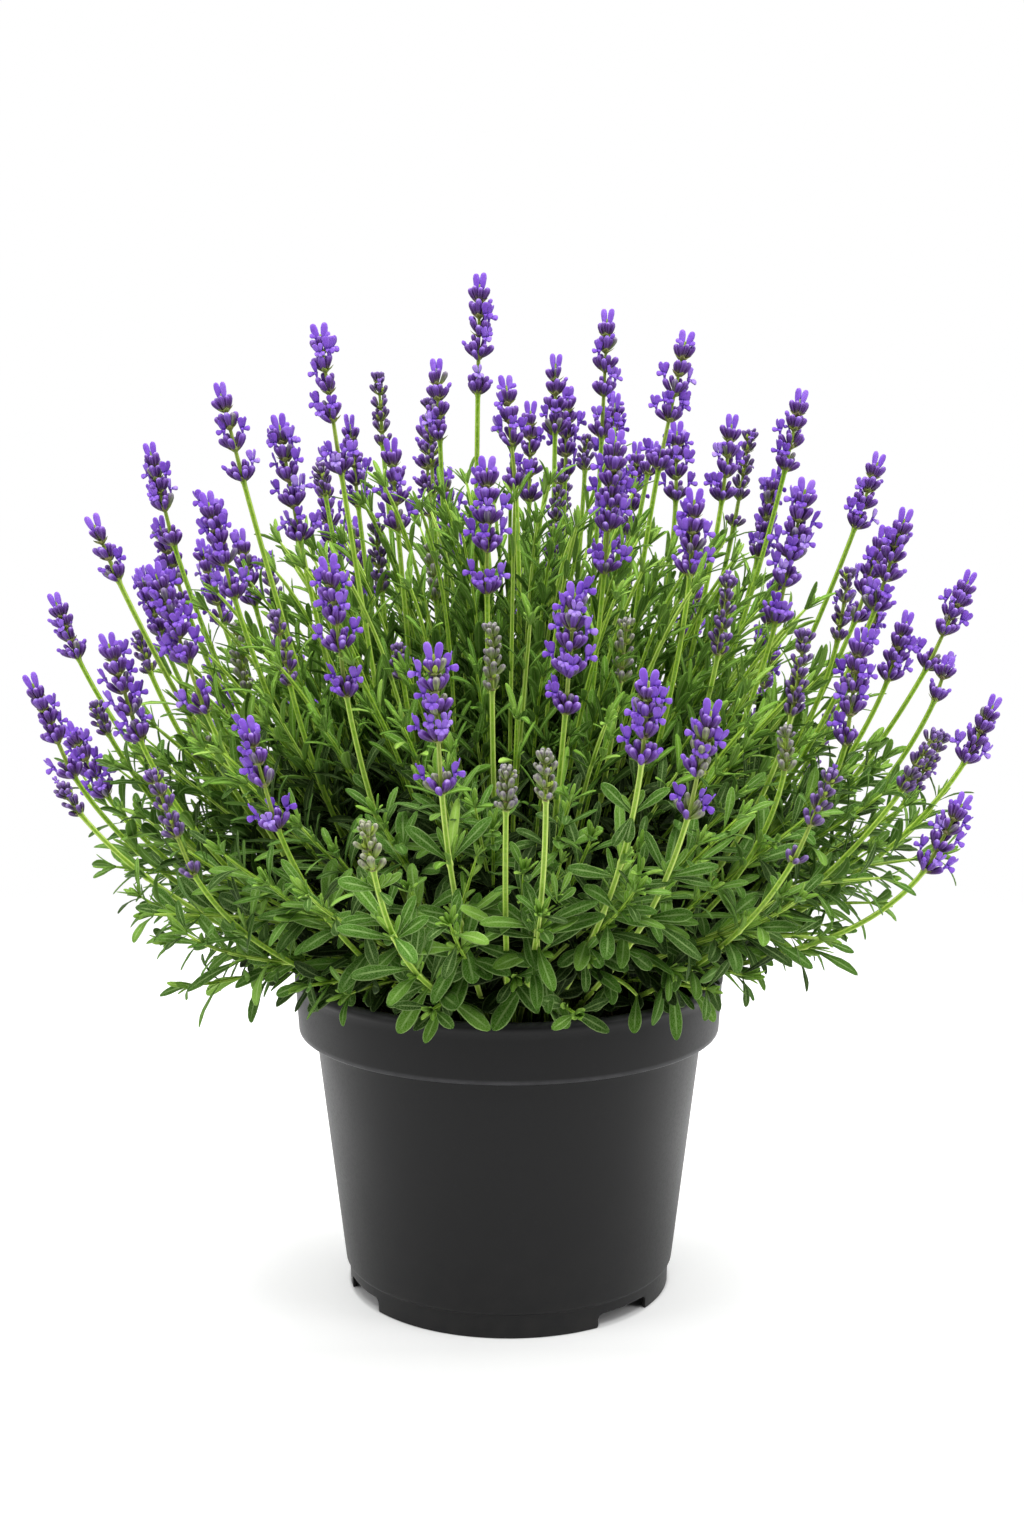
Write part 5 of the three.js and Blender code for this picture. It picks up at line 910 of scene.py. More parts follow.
    # the two upright lobes at the top
    top = C[4]; ax = unit(C[4] - C[3]); F = unit(front - (front @ ax) * ax); E1 = np.cross(ax, F) * -1.0
    base = top - ax * (ear_len + 2.4)
    tilt = (0.11 if wf < 1.1 else 0.17) + rng.uniform(-0.03, 0.04); yaw = yaw0 + rng.normal(0, 0.12)
    e = E1 * math.cos(yaw) + F * math.sin(yaw); fr = np.cross(ax, e)
    if kind in "bv" or (kind == "p" and wf > 1.1):
        for h in (-1, 1):
            dd = unit(ax + e * h * tilt)
            H.ear.append((*(base + e * h * 1.1), *dd, *(fr * (1 if fr @ F > 0 else -1)), (ear_len + 2.4) * rng.uniform(0.94, 1.0), EAR[1] * (0.72 + 0.28 * wf), EAR[2], np.clip(rng.normal(0.58, 0.12), 0, 0.85), 0.0))
            if kind == "b":
                dl = unit(e * h * 0.95 + ax * 0.22 + F * 0.3)
                H.ear.append((*(base + e * h * 1.0 + ax * 3.6), *dl, *unit(ax * 0.4 + F), 4.4, 2.6, 0.8, np.clip(rng.normal(0.6, 0.15), 0, 1), 0.0))
        H.cal.append((*(base - ax * 2.6 + F * 0.8), *unit(ax + F * 0.18), *ax, 4.6, 2.2, 0.5, 0.62, 0.05))
        H.cal.append((*(base - ax * 2.6 - F * 0.8), *unit(ax - F * 0.18), *ax, 4.6, 2.2, 0.5, 0.62, 0.05))
    else:
        for q in range(4):
            a = q * math.pi / 2 + 0.6; o = E1 * math.cos(a) + F * math.sin(a)
            H.cal.append((*(top - ax * 6.2 + o * 0.6), *unit(ax + o * 0.28), *ax, 5.6 * (0.7 + 0.3 * wf), 2.5, rng.random(), tone, 0.05))

def stem_piece(name, rows, replaces, seed):
    rng = np.random.default_rng(SEED + seed)
    H, G, LV = Heads(), [], Leaves()
    for row in rows: flower(rng, H, G, LV, row)
    return build(name, G + H.groups() + LV.groups(rng, LUP, LLO), FLOWER_MATS, replaces)

own = [r for r in STEMS if r[0]]; extra = [r for r in STEMS if not r[0]]
for i, r in enumerate(own): stem_piece("visual_" + r[0], [r], r[0], 100 + i)
def bearing(r): return math.atan2(r[4][4][1], r[4][4][0])
extra.sort(key=bearing)
per = 8
for i in range(0, len(extra), per): stem_piece("flower_stems_between_%02d" % (i // per + 1), extra[i:i + per], None, 300 + i)

# ---------------------------------------------------------------- leafy shoots
LEAF_MATS = [M_STALK, M_LEAF_UP, M_LEAF]

def shoot_piece(name, curves, replaces, seed, tone=0.0):
    rng = np.random.default_rng(SEED + seed)
    G, LV = [], Leaves()
    for C, low in curves:
        path = Path(bezier([np.array(c, float) for c in C], np.linspace(0, 1, 50)))
        T = path.length
        if low == 2:
            G.append(stalk(path, 0.0, T, 1.5, 1.0, 8, 0, rng.random(), step=9.0, ends=(1.0, 0.7)))
            dress(rng, LV, path, max(18, T * 0.22), T - 1.0, 25.0, lambda z, f: (23.0 - 6 * f, 3.8 - 0.8 * f, 0.42, False), rng.uniform(0, 6.28), tone=tone + 0.1)
            continue
        G.append(stalk(path, 0.0, T, 1.35, 0.75, 8, 0, rng.random(), step=9.0, ends=(1.0, 0.7)))
        start = T * (0.34 if T < 120 else 0.42) if not low else T * 0.30
        start = max(start, 14)
        dress(rng, LV, path, start, T - 1.0, 10.5 if not low else 11.5, leaf_size, rng.uniform(0, 6.28), tuft=2 if low else 1, tone=tone)
    return build(name, G + LV.groups(rng, 1, 2), LEAF_MATS, replaces)

for i, (node, low, C) in enumerate(SHOOTS): shoot_piece("visual_" + node, [(C, 1 if low else 0)], node, 500 + i)

# the other shoots of the bush, in sectors
def bush(rng):
    """Shoot curves that fill the dome of leaves."""
    out = []
    n_up, n_low = 325, 64
    for k in range(n_up):
        lift = 1.07 if k % 4 == 2 else 1.0
        rho = math.sqrt((k + 0.5) / n_up) * 0.93
        th = k * 2.399963 + rng.normal(0, 0.1)
        ex, ey = 226.0, 204.0
        x, y = rho * ex * math.cos(th), rho * ey * math.sin(th)
        z = 172 + 262 * math.sqrt(max(0, 1 - rho * rho)) * (rng.uniform(0.60, 0.98) if k % 2 else rng.uniform(0.86, 1.02)) * lift
        r0 = 14 + 62 * rho ** 0.8 * rng.uniform(0.85, 1.1)
        a0 = th + rng.normal(0, 0.12)
        P0 = np.array([r0 * math.cos(a0), r0 * math.sin(a0), SOIL_Z + 0.5]); Tt = np.array([x, y, z])
        if y < -50 and k % 4 != 2: z = 172 + (z - 172) * (1 - 0.22 * min(1, (-50 - y) / 70))
        z = max(z, 200); Tt[2] = z
        L = np.linalg.norm(Tt - P0); u = unit([x, y, 1e-6]); u[2] = 0
        P1 = P0 + unit((Tt - P0) * 0.5 + np.array([0, 0, 70.0])) * L * 0.36
        P2 = Tt - unit(u * (0.30 + 0.45 * rho) + np.array([0, 0, 0.85 - 0.3 * rho])) * L * 0.32
        out.append((th, [P0, P1, P2, Tt], 2 if k % 4 == 2 and rho < 0.85 else 0))
    for k in range(n_low):
        th = (k + rng.uniform(-0.35, 0.35)) * 2 * math.pi / n_low
        tier = k % 3
        rt = (148, 186, 214)[tier] + rng.normal(0, 9); z = (190, 206, 232)[tier] + rng.normal(0, 9)
        fwd = max(0.0, -math.sin(th) - 0.55) / 0.45
        if fwd > 0.25 and tier != 0: continue
        if tier < 2: z += 16 * fwd; rt -= 12 * fwd
        x, y = rt * math.cos(th), rt * math.sin(th)
        if abs(y) > 208: s = 208 / abs(y); x *= s; y *= s
        r0 = rng.uniform(50, 80); a0 = th + rng.normal(0, 0.15)
        P0 = np.array([r0 * math.cos(a0), r0 * math.sin(a0), SOIL_Z + 0.5]); Tt = np.array([x, y, z]); L = np.linalg.norm(Tt - P0)
        u = unit([x, y, 1e-6]); u[2] = 0
        P1 = P0 + (u * 0.5 + np.array([0, 0, 0.86])) * L * 0.42; P2 = Tt - (u * 0.95 + np.array([0, 0, 0.10 * tier - 0.05])) * L * 0.34
        out.append((th, [P0, P1, P2, Tt], 1))
    return out

def over_rim(C):
    p = bezier(C, np.linspace(0, 1, 40)); r = np.hypot(p[:, 0], p[:, 1])
    return not ((r > 100) & (r < 119) & (p[:, 2] < RIM_Z + 3.2)).any()

rng = np.random.default_rng(SEED + 1)
curves = []
for th, C, low in bush(rng):
    for _ in range(12):
        if over_rim(C): break
        C[1] = C[1] + np.array([0, 0, 5.0]); C[2] = C[2] + np.array([0, 0, 2.5])
    if over_rim(C): curves.append((math.atan2(C[3][1], C[3][0]), C, low))
curves.sort(key=lambda c: c[0])
SECT = 16
step = int(math.ceil(len(curves) / SECT))
for i in range(0, len(curves), step):
    shoot_piece("leafy_shoots_between_%02d" % (i // step + 1), [(C, low) for _, C, low in curves[i:i + step]], None, 700 + i)

# ---------------------------------------------------------------- pot
def new_object(name, verts, faces, mats, slot, replaces=None, smooth=True):
    me = bpy.data.meshes.new(name); me.from_pydata([tuple(v) for v in verts], [], [tuple(f) for f in faces])
    for m in mats: me.materials.append(m)
    if smooth: me.polygons.foreach_set("use_smooth", np.ones(len(me.polygons), bool))
    me.update()
    ob = bpy.data.objects.new(name, me); bpy.context.scene.collection.objects.link(ob)
    return ob

def lathe(profile, n, name):
    prof = np.array(profile, float); V = []; F = []
    ang = np.arange(n) * 2 * math.pi / n
    first = prof[0][0] < 1e-6; last = prof[-1][0] < 1e-6
    body = prof[(1 if first else 0):(len(prof) - 1 if last else len(prof))]
    for r, z in body: V += [(r * math.cos(a) * MM, r * math.sin(a) * MM, z * MM) for a in ang]
    m = len(body)
    for i in range(m - 1):
        for k in range(n):
            k1 = (k + 1) % n; F.append((i * n + k, i * n + k1, (i + 1) * n + k1, (i + 1) * n + k))
    if first:
        V.append((0, 0, prof[0][1] * MM)); c = len(V) - 1
        for k in range(n): F.append((c, (k + 1) % n, k))
    if last:
        V.append((0, 0, prof[-1][1] * MM)); c = len(V) - 1
        for k in range(n): F.append((c, (m - 1) * n + k, (m - 1) * n + (k + 1) % n))
    return new_object(name, V, F, [], None)

def arc(cx, cz, r, a0, a1, n):
    return [(cx + r * math.cos(math.radians(a0 + (a1 - a0) * i / n)), cz + r * math.sin(math.radians(a0 + (a1 - a0) * i / n))) for i in range(n + 1)]

def pot_profile():
    P = [(0, 9.0), (40, 9.0), (70, 9.0), (83.2, 9.0)]
    P += [(84.0, 8.8), (84.5, 8.2), (84.8, 4.0), (84.9, 0.7)] + arc(85.5, 0.6, 0.6, 180, 270, 4)[1:] + [(86.4, 0.0)]
    P += arc(86.5, 0.6, 0.6, 270, 360, 4)[1:]
    P += [(87.2, 4.0), (87.45, 9.0), (87.55, 11.9)] + [(87.6, 12.5), (87.95, 13.0), (88.6, 13.5), (89.05, 13.9), (89.35, 14.5), (89.5, 15.4)]
    for z in (22, 34, 48, 64, 80, 96, 112, 126, 136): P.append((89.5 + (104.25 - 89.5) * (z - 15.4) / (140.6 - 15.4), z))
    # the step out under the rim band
    P += [(104.25, 140.6), (104.5, 141.6), (105.2, 142.2), (106.2, 142.5), (109.5, 142.55), (112.0, 142.6)] + arc(112.4, 143.6, 1.0, 270, 355, 4)
    P += [(113.55, 146.0), (113.9, 152.0), (114.3, 159.0), (114.65, 165.5), (114.8, 168.6)]
    # rolled lip
    P += [(115.05, 169.4), (115.25, 170.2), (115.3, 171.2), (115.15, 172.3), (114.75, 173.3), (114.15, 174.0), (113.4, 174.42), (112.75, 174.5), (112.2, 174.25), (111.95, 173.6), (111.9, 172.6)]
    P += [(111.7, 165.0), (111.5, 155.0), (111.3, 147.0), (111.0, 145.9), (110.2, 145.3), (108.5, 145.0), (105.0, 144.9), (103.6, 144.7), (102.9, 144.2), (102.6, 143.2)]
    for z in (128, 108, 86, 62, 38, 20): P.append((87.4 + (102.6 - 87.4) * (z - 14.5) / (143.2 - 14.5), z))
    P += [(87.2, 14.2), (86.7, 12.6), (85.6, 11.8), (84.0, 11.5), (60, 11.5), (30, 11.5), (0, 11.5)]
    return P

def prism(outline, depth0, depth1, M):
    """A closed prism: outline (u, v) pushed along w, placed by the 3x3 columns of M."""
    n = len(outline); V = []
    for w in (depth0, depth1):
        for u, v in outline: V.append(tuple((M @ np.array([u, v, w])) * MM))
    F = [tuple(range(n))[::-1], tuple(range(n, 2 * n))] + [(i, (i + 1) % n, n + (i + 1) % n, n + i) for i in range(n)]
    return V, F

def make_pot():
    ob = lathe(pot_profile(), POT_SIDES, "visual_pot")
    cuts = []
    for b in (-46, 26, 206, 134):
        a = math.radians(b); out = np.array([math.cos(a), math.sin(a), 0]); tan = np.array([-math.sin(a), math.cos(a), 0]); up = np.array([0, 0, 1.0])
        M = np.stack([tan, up, out], 1)
        hw, h, f = 18.0, 7.5, 3.0
        o = [(-hw - 2.0, -2), (hw + 2.0, -2), (hw + 0.4, 0.0)] + [(hw, 1.2)] + arc(hw - f, h - f, f, 0, 90, 6) + arc(-hw + f, h - f, f, 90, 180, 6) + [(-hw, 1.2), (-hw - 0.4, 0.0)]
        cuts.append(prism(o, 74.0, 96.0, M))
    for b in (20, 110, 200, 290):
        a = math.radians(b); out = np.array([math.cos(a), math.sin(a), 0]); tan = np.array([-math.sin(a), math.cos(a), 0])
        o = [(x, y + 76) for x, y in arc(11, 0, 4, -90, 90, 8) + arc(-11, 0, 4, 90, 270, 8)]
        cuts.append(prism(o, 5, 15, np.stack([tan, out, np.array([0, 0, 1.0])], 1)))
    cuts.append(prism(arc(0, 0, 7, 0, 360, 24)[:-1], 5, 15, np.eye(3)))
    tools = []
    for i, (V, F) in enumerate(cuts):
        c = new_object("cut_%d" % i, V, F, [], None, smooth=False); tools.append(c)
        bm = bmesh.new(); bm.from_mesh(c.data); bmesh.ops.recalc_face_normals(bm, faces=bm.faces); bm.to_mesh(c.data); bm.free()
        m = ob.modifiers.new("cut", "BOOLEAN"); m.operation = "DIFFERENCE"; m.object = c; m.solver = "EXACT"
    bv = ob.modifiers.new("bevel", "BEVEL"); bv.width = 0.00035; bv.segments = 2; bv.limit_method = "ANGLE"; bv.angle_limit = math.radians(50); bv.use_clamp_overlap = True
    dg = bpy.context.evaluated_depsgraph_get(); me = bpy.data.meshes.new_from_object(ob.evaluated_get(dg), depsgraph=dg)
    ob.modifiers.clear(); old = ob.data; ob.data = me; bpy.data.meshes.remove(old); me.name = "visual_pot"
    for c in tools: bpy.data.objects.remove(c)
    me.materials.clear(); me.materials.append(M_POT)
    me.polygons.foreach_set("use_smooth", np.ones(len(me.polygons), bool))
    me.set_sharp_from_angle(angle=math.radians(32))
    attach(ob, "root"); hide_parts("pot")
    return ob

make_pot()

# ---------------------------------------------------------------- compost and woody parts
def noise2(x, y, seed, scale):
    """Smooth seeded value noise."""
    g = np.random.default_rng(seed).random((64, 64))
    u, v = x / scale, y / scale
    i, j = np.floor(u).astype(int), np.floor(v).astype(int); fu, fv = u - i, v - j
    fu, fv = fu * fu * (3 - 2 * fu), fv * fv * (3 - 2 * fv)
    G = lambda a, b: g[a % 64, b % 64]
    return (G(i, j) * (1 - fu) + G(i + 1, j) * fu) * (1 - fv) + (G(i, j + 1) * (1 - fu) + G(i + 1, j + 1) * fu) * fv - 0.5

def make_compost():
    n = 168
    radii = list(np.linspace(0.6, 109.6, 66))
    ang = np.arange(n) * 2 * math.pi / n
    V = []; F = []
    side = [(110.2, 156.4), (110.4, 150.0), (110.3, 146.3), (109.6, 146.1), (102.4, 145.3), (94.0, 80.0), (86.5, 14.0), (85.2, 12.0), (84.0, 11.95)]
    for r in radii:
        x, y = r * np.cos(ang), r * np.sin(ang)
        h = 2.6 * noise2(x, y, 5, 21.0) + 1.9 * noise2(x, y, 6, 7.0) + 1.5 * noise2(x, y, 7, 3.1)
        edge = 1 - max(0, (r - 104) / 6) * 0.6
        z = SOIL_Z - 0.6 + h * edge - 0.3
        V += [tuple(v) for v in np.stack([x, y, z], 1) * MM]
    for r, z in side: V += [(r * math.cos(a) * MM, r * math.sin(a) * MM, z * MM) for a in ang]
    m = len(radii) + len(side)
    for i in range(m - 1):
        for k in range(n):
            k1 = (k + 1) % n; F.append((i * n + k, (i + 1) * n + k, (i + 1) * n + k1, i * n + k1))
    V.append((0, 0, V[0][2])); c = len(V) - 1
    for k in range(n): F.append((c, k, (k + 1) % n))
    V.append((0, 0, 11.95 * MM)); c = len(V) - 1
    for k in range(n): F.append((c, (m - 1) * n + (k + 1) % n, (m - 1) * n + k))
    ob = new_object("visual_compost", V, F, [M_COMPOST], None)
    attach(ob, "root"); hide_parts("compost")
    # loose bark chips and fibres
    rng = np.random.default_rng(SEED + 40)
    N = 620
    r = np.sqrt(rng.uniform(0.02, 1, N)) * 106; a = rng.uniform(0, 2 * math.pi, N)
    P = np.stack([r * np.cos(a), r * np.sin(a), SOIL_Z - 0.4 + rng.uniform(0, 1.6, N)], 1)
    th = rng.uniform(0, 2 * math.pi, N); D = np.stack([np.cos(th), np.sin(th), rng.normal(0, 0.22, N)], 1)
    L = rng.uniform(2.5, 8.5, N); W = rng.uniform(1.3, 4.2, N)
    P = P - D * (L / 2)[:, None]
    g = bodies(P, D, np.tile([0, 0, 1.0], (N, 1)), L, W, [0.02, 0.2, 0.6, 0.95], [0.55, 0.95, 1.0, 0.6], 6, 0, rng.random(N), 0.0, flat=rng.uniform(0.3, 0.7, N), rib=0.16)
    v = g.V.reshape(N, -1, 3); v += rng.normal(0, 0.22, v.shape)
    rr = np.hypot(v[..., 0], v[..., 1]); f = np.minimum(1, 109.0 / np.maximum(rr, 1)); v[..., 0] *= f; v[..., 1] *= f
    g.V = v.reshape(-1, 3)
    build("compost_chips", [g], [M_CHIP])

make_compost()

def make_wood():
    rng = np.random.default_rng(SEED + 60)
    trunk = Path([(0, 0, 139.0), (0.6, 0.2, 150), (0.2, -0.4, 162), (-0.4, 0.2, 172), (0.2, 0.2, 178)])
    G = [stalk(trunk, 0, trunk.length, 11.8, 7.4, 16, 0, 0.3, step=2.6, square=0.06, rough=0.05, ends=(1.0, 0.75))]
    for b in (20, 92, 164, 236, 308):
        a = math.radians(b); u = np.array([math.cos(a), math.sin(a), 0])
        C = [u * 3 + [0, 0, 166], u * 8 + [0, 0, 176], u * 11 + [0, 0, 184], u * 13.2 + [0, 0, 193]]
        p = Path(bezier([np.array(c, float) for c in C], np.linspace(0, 1, 20)))
        G.append(stalk(p, 0, p.length, 4.0, 2.9, 10, 0, rng.random(), step=2.4, square=0.05, rough=0.06, ends=(1.0, 0.8)))
    build("visual_woody_crown", G, [M_BARK], "woody_crown")
    # low woody branches that lie close to the compost and carry the shoots
    G = []
    for k in range(30):
        a = k * 2 * math.pi / 30 + rng.normal(0, 0.05); r1 = (44, 62, 80)[k % 3] + rng.normal(0, 4)
        a1 = a + rng.normal(0, 0.15)
        u0 = np.array([math.cos(a), math.sin(a), 0]); u1 = np.array([math.cos(a1), math.sin(a1), 0])
        z1 = 163.5 + rng.uniform(0, 3)
        C = [u0 * 6 + [0, 0, 163 + rng.uniform(0, 7)], u0 * 20 + [0, 0, 171], u1 * (r1 * 0.7) + [0, 0, 168], u1 * r1 + [0, 0, z1]]
        p = Path(bezier([np.array(c, float) for c in C], np.linspace(0, 1, 26)))
        G.append(stalk(p, 0, p.length, 3.3, 1.9, 8, 0, rng.random(), step=4.0, square=0.05, rough=0.06, ends=(1.0, 0.7)))
    build("woody_branches", G, [M_BARK])

make_wood()

# ---------------------------------------------------------------- the leaves and young shoots nearest the viewer
# leaves: base, tip, width, lightness, bend
FRONT_LEAVES = [
    [-26.7,-177.8,267.2,-45.9,-184.9,284.8,6.6,0.55,0.25],
    [-26.7,-177.8,267.2,-7.7,-185.6,289.2,6.4,0.55,0.25],
    [-26.8,-178.7,268.5,-28.9,-181.3,278.2,2.4,0.95,0.1],
    [-26.7,-177.8,267.2,-19.5,-182.3,282.7,2.4,0.95,0.1],
    [-26.8,-178.7,268.5,-32.0,-183.1,284.4,2.8,0.8,0.1],
    [-22.8,-152.1,235.1,-43.0,-157.9,241.0,7.8,0.55,0.25],
    [-22.8,-152.1,235.1,1.1,-159.8,250.9,6.4,0.7,0.25],
    [-22.8,-152.1,235.1,-24.3,-154.4,243.9,3.2,0.85,0.3],
    [-20.8,-138.5,221.3,-16.6,-141.5,201.4,9.0,0.6,0.1],
    [-20.8,-138.5,221.3,10.0,-147.8,211.8,7.8,0.5,0.25],
    [-56.5,-217.5,262.9,-73.5,-222.5,267.9,6.8,0.65,0.25],
    [-56.5,-217.5,262.9,-50.2,-218.7,256.7,4.2,0.6,0.25],
    [-56.5,-217.5,262.9,-61.2,-219.6,269.3,2.6,0.9,0.1],
    [-56.5,-217.5,262.9,-53.7,-219.6,270.4,2.8,1.0,0.1],
    [-56.5,-217.5,262.9,-46.1,-221.1,271.3,3.6,0.85,0.1],
    [-56.5,-217.5,262.9,-50.4,-220.2,271.0,3.0,0.95,0.1],
    [-50.5,-194.6,235.4,-75.9,-202.0,242.4,7.4,0.6,0.25],
    [-50.5,-194.6,235.4,-35.4,-199.7,247.2,6.0,0.6,0.25],
    [-50.8,-195.7,236.4,-59.3,-200.0,249.7,4.0,0.8,0.1],
    [-50.8,-195.7,236.4,-48.1,-198.8,247.8,3.0,0.95,0.1],
    [-50.5,-194.6,235.4,-41.1,-200.8,256.9,5.6,0.6,0.15],
    [-50.5,-194.6,235.4,-55.6,-196.1,235.0,4.6,0.5,0.4],
    [-44.1,-166.7,215.3,-72.3,-174.9,213.7,7.8,0.5,0.25],
    [-43.5,-164.0,213.7,-40.4,-170.3,237.6,6.4,0.45,0.15],
    [-44.7,-169.5,216.9,-49.5,-170.9,219.4,3.4,0.8,0.6],
    [-43.5,-164.0,213.7,-39.5,-166.4,222.0,2.8,0.9,0.1],
    [-37.4,-136.2,199.3,-52.7,-140.1,177.0,8.4,0.7,0.2],
    [-38.4,-140.8,201.5,-57.6,-143.8,191.6,8.0,0.42,0.3],
    [-37.4,-136.2,199.3,-29.1,-142.1,220.3,6.2,0.4,0.2],
    [-37.1,-134.7,198.6,-20.2,-139.9,207.9,6.8,0.4,0.3],
    [-37.4,-136.2,199.3,-41.2,-137.3,200.5,3.6,0.6,0.8],
    [-32.3,-112.8,188.5,-11.5,-123.8,177.6,8.2,0.42,0.3],
    [-32.7,-114.4,189.2,-28.5,-118.6,179.3,5.0,0.3,0.2],
    [-35.8,-128.5,195.7,-22.2,-134.1,211.8,7.0,0.36,0.2],
    [-60.4,-103.4,262.4,-42.0,-111.2,284.9,6.8,0.5,0.25],
    [-60.4,-103.4,262.4,-59.3,-106.2,272.6,3.2,0.85,0.1],
    [-67.0,-114.6,288.9,-74.1,-117.7,297.6,5.0,0.5,0.1],
    [12.9,-158.7,229.8,-4.9,-165.1,245.7,7.0,0.6,0.25],
    [12.7,-156.2,227.6,44.1,-165.6,240.1,7.0,0.6,0.25],
    [12.8,-157.5,228.7,13.8,-159.2,235.2,2.8,0.95,0.1],
    [12.8,-157.5,228.7,21.8,-160.5,235.7,3.0,1.0,0.1],
    [12.9,-158.7,229.8,28.4,-164.3,243.5,4.6,0.65,0.2],
    [21.5,-178.7,248.6,13.6,-182.3,259.4,3.4,0.7,0.1],
    [22.3,-179.8,249.2,30.0,-182.6,256.4,4.0,0.7,0.2],
    [21.7,-179.8,249.7,19.6,-183.5,263.5,3.0,0.85,0.2],
    [23.0,-182.9,253.6,27.7,-186.0,264.5,3.0,0.9,0.1],
    [11.4,-141.2,214.4,14.9,-143.3,200.5,5.6,0.65,0.2],
    [11.6,-143.8,216.6,7.9,-145.2,213.6,3.8,0.75,0.6],
    [10.9,-135.9,210.1,8.5,-137.4,200.5,3.2,0.7,0.3],
    [16.3,-122.0,197.5,28.3,-130.0,176.4,8.6,0.66,0.15],
    [7.8,-122.0,197.3,-7.7,-130.0,175.5,9.0,0.6,0.2],
    [54.7,-192.4,291.4,40.4,-198.0,306.5,6.0,0.6,0.25],
    [54.7,-192.4,291.4,70.7,-198.1,304.2,6.0,0.6,0.25],
    [54.9,-193.2,292.9,49.4,-195.8,300.9,2.4,0.95,0.1],
    [54.9,-193.2,292.9,59.1,-196.3,303.3,3.6,0.85,0.1],
    [54.7,-192.4,291.4,52.0,-194.2,279.3,5.6,0.45,0.2],
    [54.7,-192.4,291.4,45.9,-194.7,277.8,5.0,0.4,0.2],
    [48.2,-168.7,256.2,44.4,-173.3,273.1,3.0,0.7,0.1],
    [48.8,-170.8,258.8,26.1,-177.2,264.5,6.2,0.5,0.2],
    [43.4,-152.1,236.9,66.7,-158.9,234.9,6.4,0.6,0.3],
    [43.7,-153.3,238.2,39.7,-154.8,242.3,2.6,0.95,0.2],
    [44.1,-154.4,239.4,51.9,-156.9,243.7,3.4,0.85,0.5],
    [38.0,-133.9,218.6,23.2,-136.4,208.9,6.8,0.5,0.3],
    [37.7,-132.6,217.4,44.1,-134.3,207.5,6.8,0.62,0.3],
    [71.9,-165.0,257.4,61.5,-171.7,280.4,4.8,0.55,0.1],
    [72.3,-165.9,258.7,69.6,-167.9,266.1,2.4,0.95,0.1],
    [71.9,-165.0,257.4,95.0,-171.9,264.3,5.8,0.6,0.3],
    [72.3,-165.9,258.7,81.3,-170.2,271.9,3.2,0.85,0.1],
    [71.9,-165.0,257.4,92.0,-170.9,255.1,5.0,0.45,0.3],
    [64.1,-147.2,234.3,85.3,-153.3,237.7,7.0,0.55,0.3],
    [64.1,-147.2,234.3,89.9,-151.8,215.8,6.6,0.42,0.4],
    [55.8,-127.7,214.3,68.2,-129.9,205.7,6.6,0.5,0.3],
    [55.3,-126.6,213.3,51.4,-127.9,205.4,5.0,0.6,0.4],
    [55.8,-127.7,214.3,63.0,-129.9,212.1,4.0,0.6,0.6],
    [80.4,-95.1,191.5,83.1,-99.5,161.6,7.0,0.62,0.2],
    [81.2,-96.1,192.2,77.8,-101.9,214.1,5.4,0.5,0.2],
    [82.0,-97.1,193.0,89.6,-102.2,210.3,4.8,0.5,0.2],
    [71.6,-83.8,183.2,79.2,-98.3,175.2,5.0,0.5,0.3],
    [81.7,-104.0,189.9,90.3,-112.0,180.8,3.6,0.5,0.2],
    [94.2,-92.0,184.9,97.9,-100.0,173.3,4.4,0.5,0.2],
    [62.6,-108.0,186.9,60.8,-116.0,170.0,6.6,0.66,0.2],
    [49.2,-104.0,191.7,41.5,-112.0,179.9,7.4,0.42,0.3],
    [-80.3,-92.0,190.8,-77.5,-100.0,179.1,6.0,0.5,0.2],
    [-71.9,-92.0,190.4,-64.0,-100.0,181.2,6.4,0.2,0.3],
]
# short twigs that carry some of them: start, middle, end
FRONT_TWIGS = [
    [[9.5,-121.0,198.5],[12.9,-121.5,203.0],[16.3,-122.0,197.5]],
    [[9.5,-121.0,198.5],[8.6,-121.5,202.9],[7.8,-122.0,197.3]],
    [[83.5,-99.1,194.5],[82.6,-101.6,197.2],[81.7,-104.0,189.9]],
    [[81.2,-96.1,192.2],[87.7,-94.1,193.6],[94.2,-92.0,184.9]],
    [[47.2,-107.2,196.3],[54.9,-107.6,196.6],[62.6,-108.0,186.9]],
    [[45.7,-103.6,193.3],[47.4,-103.8,197.5],[49.2,-104.0,191.7]],
    [[-65.1,-96.1,196.1],[-72.7,-94.0,198.5],[-80.3,-92.0,190.8]],
    [[-63.8,-94.0,194.3],[-67.9,-93.0,197.3],[-71.9,-92.0,190.4]],
]
# young side shoots: foot, tip
FRONT_SHOOTS = [
    [[-23.1,-154.2,237.4],[-14.5,-157.2,266.9]],
    [[44.7,-156.7,242.0],[54.2,-159.7,266.6]],
    [[12.7,-156.2,227.6],[24.4,-159.2,264.2]],
]
T_LARGE = [0.0, 0.06, 0.14, 0.24, 0.35, 0.47, 0.59, 0.70, 0.80, 0.88, 0.94, 0.98]
O_LARGE = [0.15, 0.17, 0.25, 0.42, 0.62, 0.82, 0.95, 1.0, 0.93, 0.76, 0.54, 0.30]

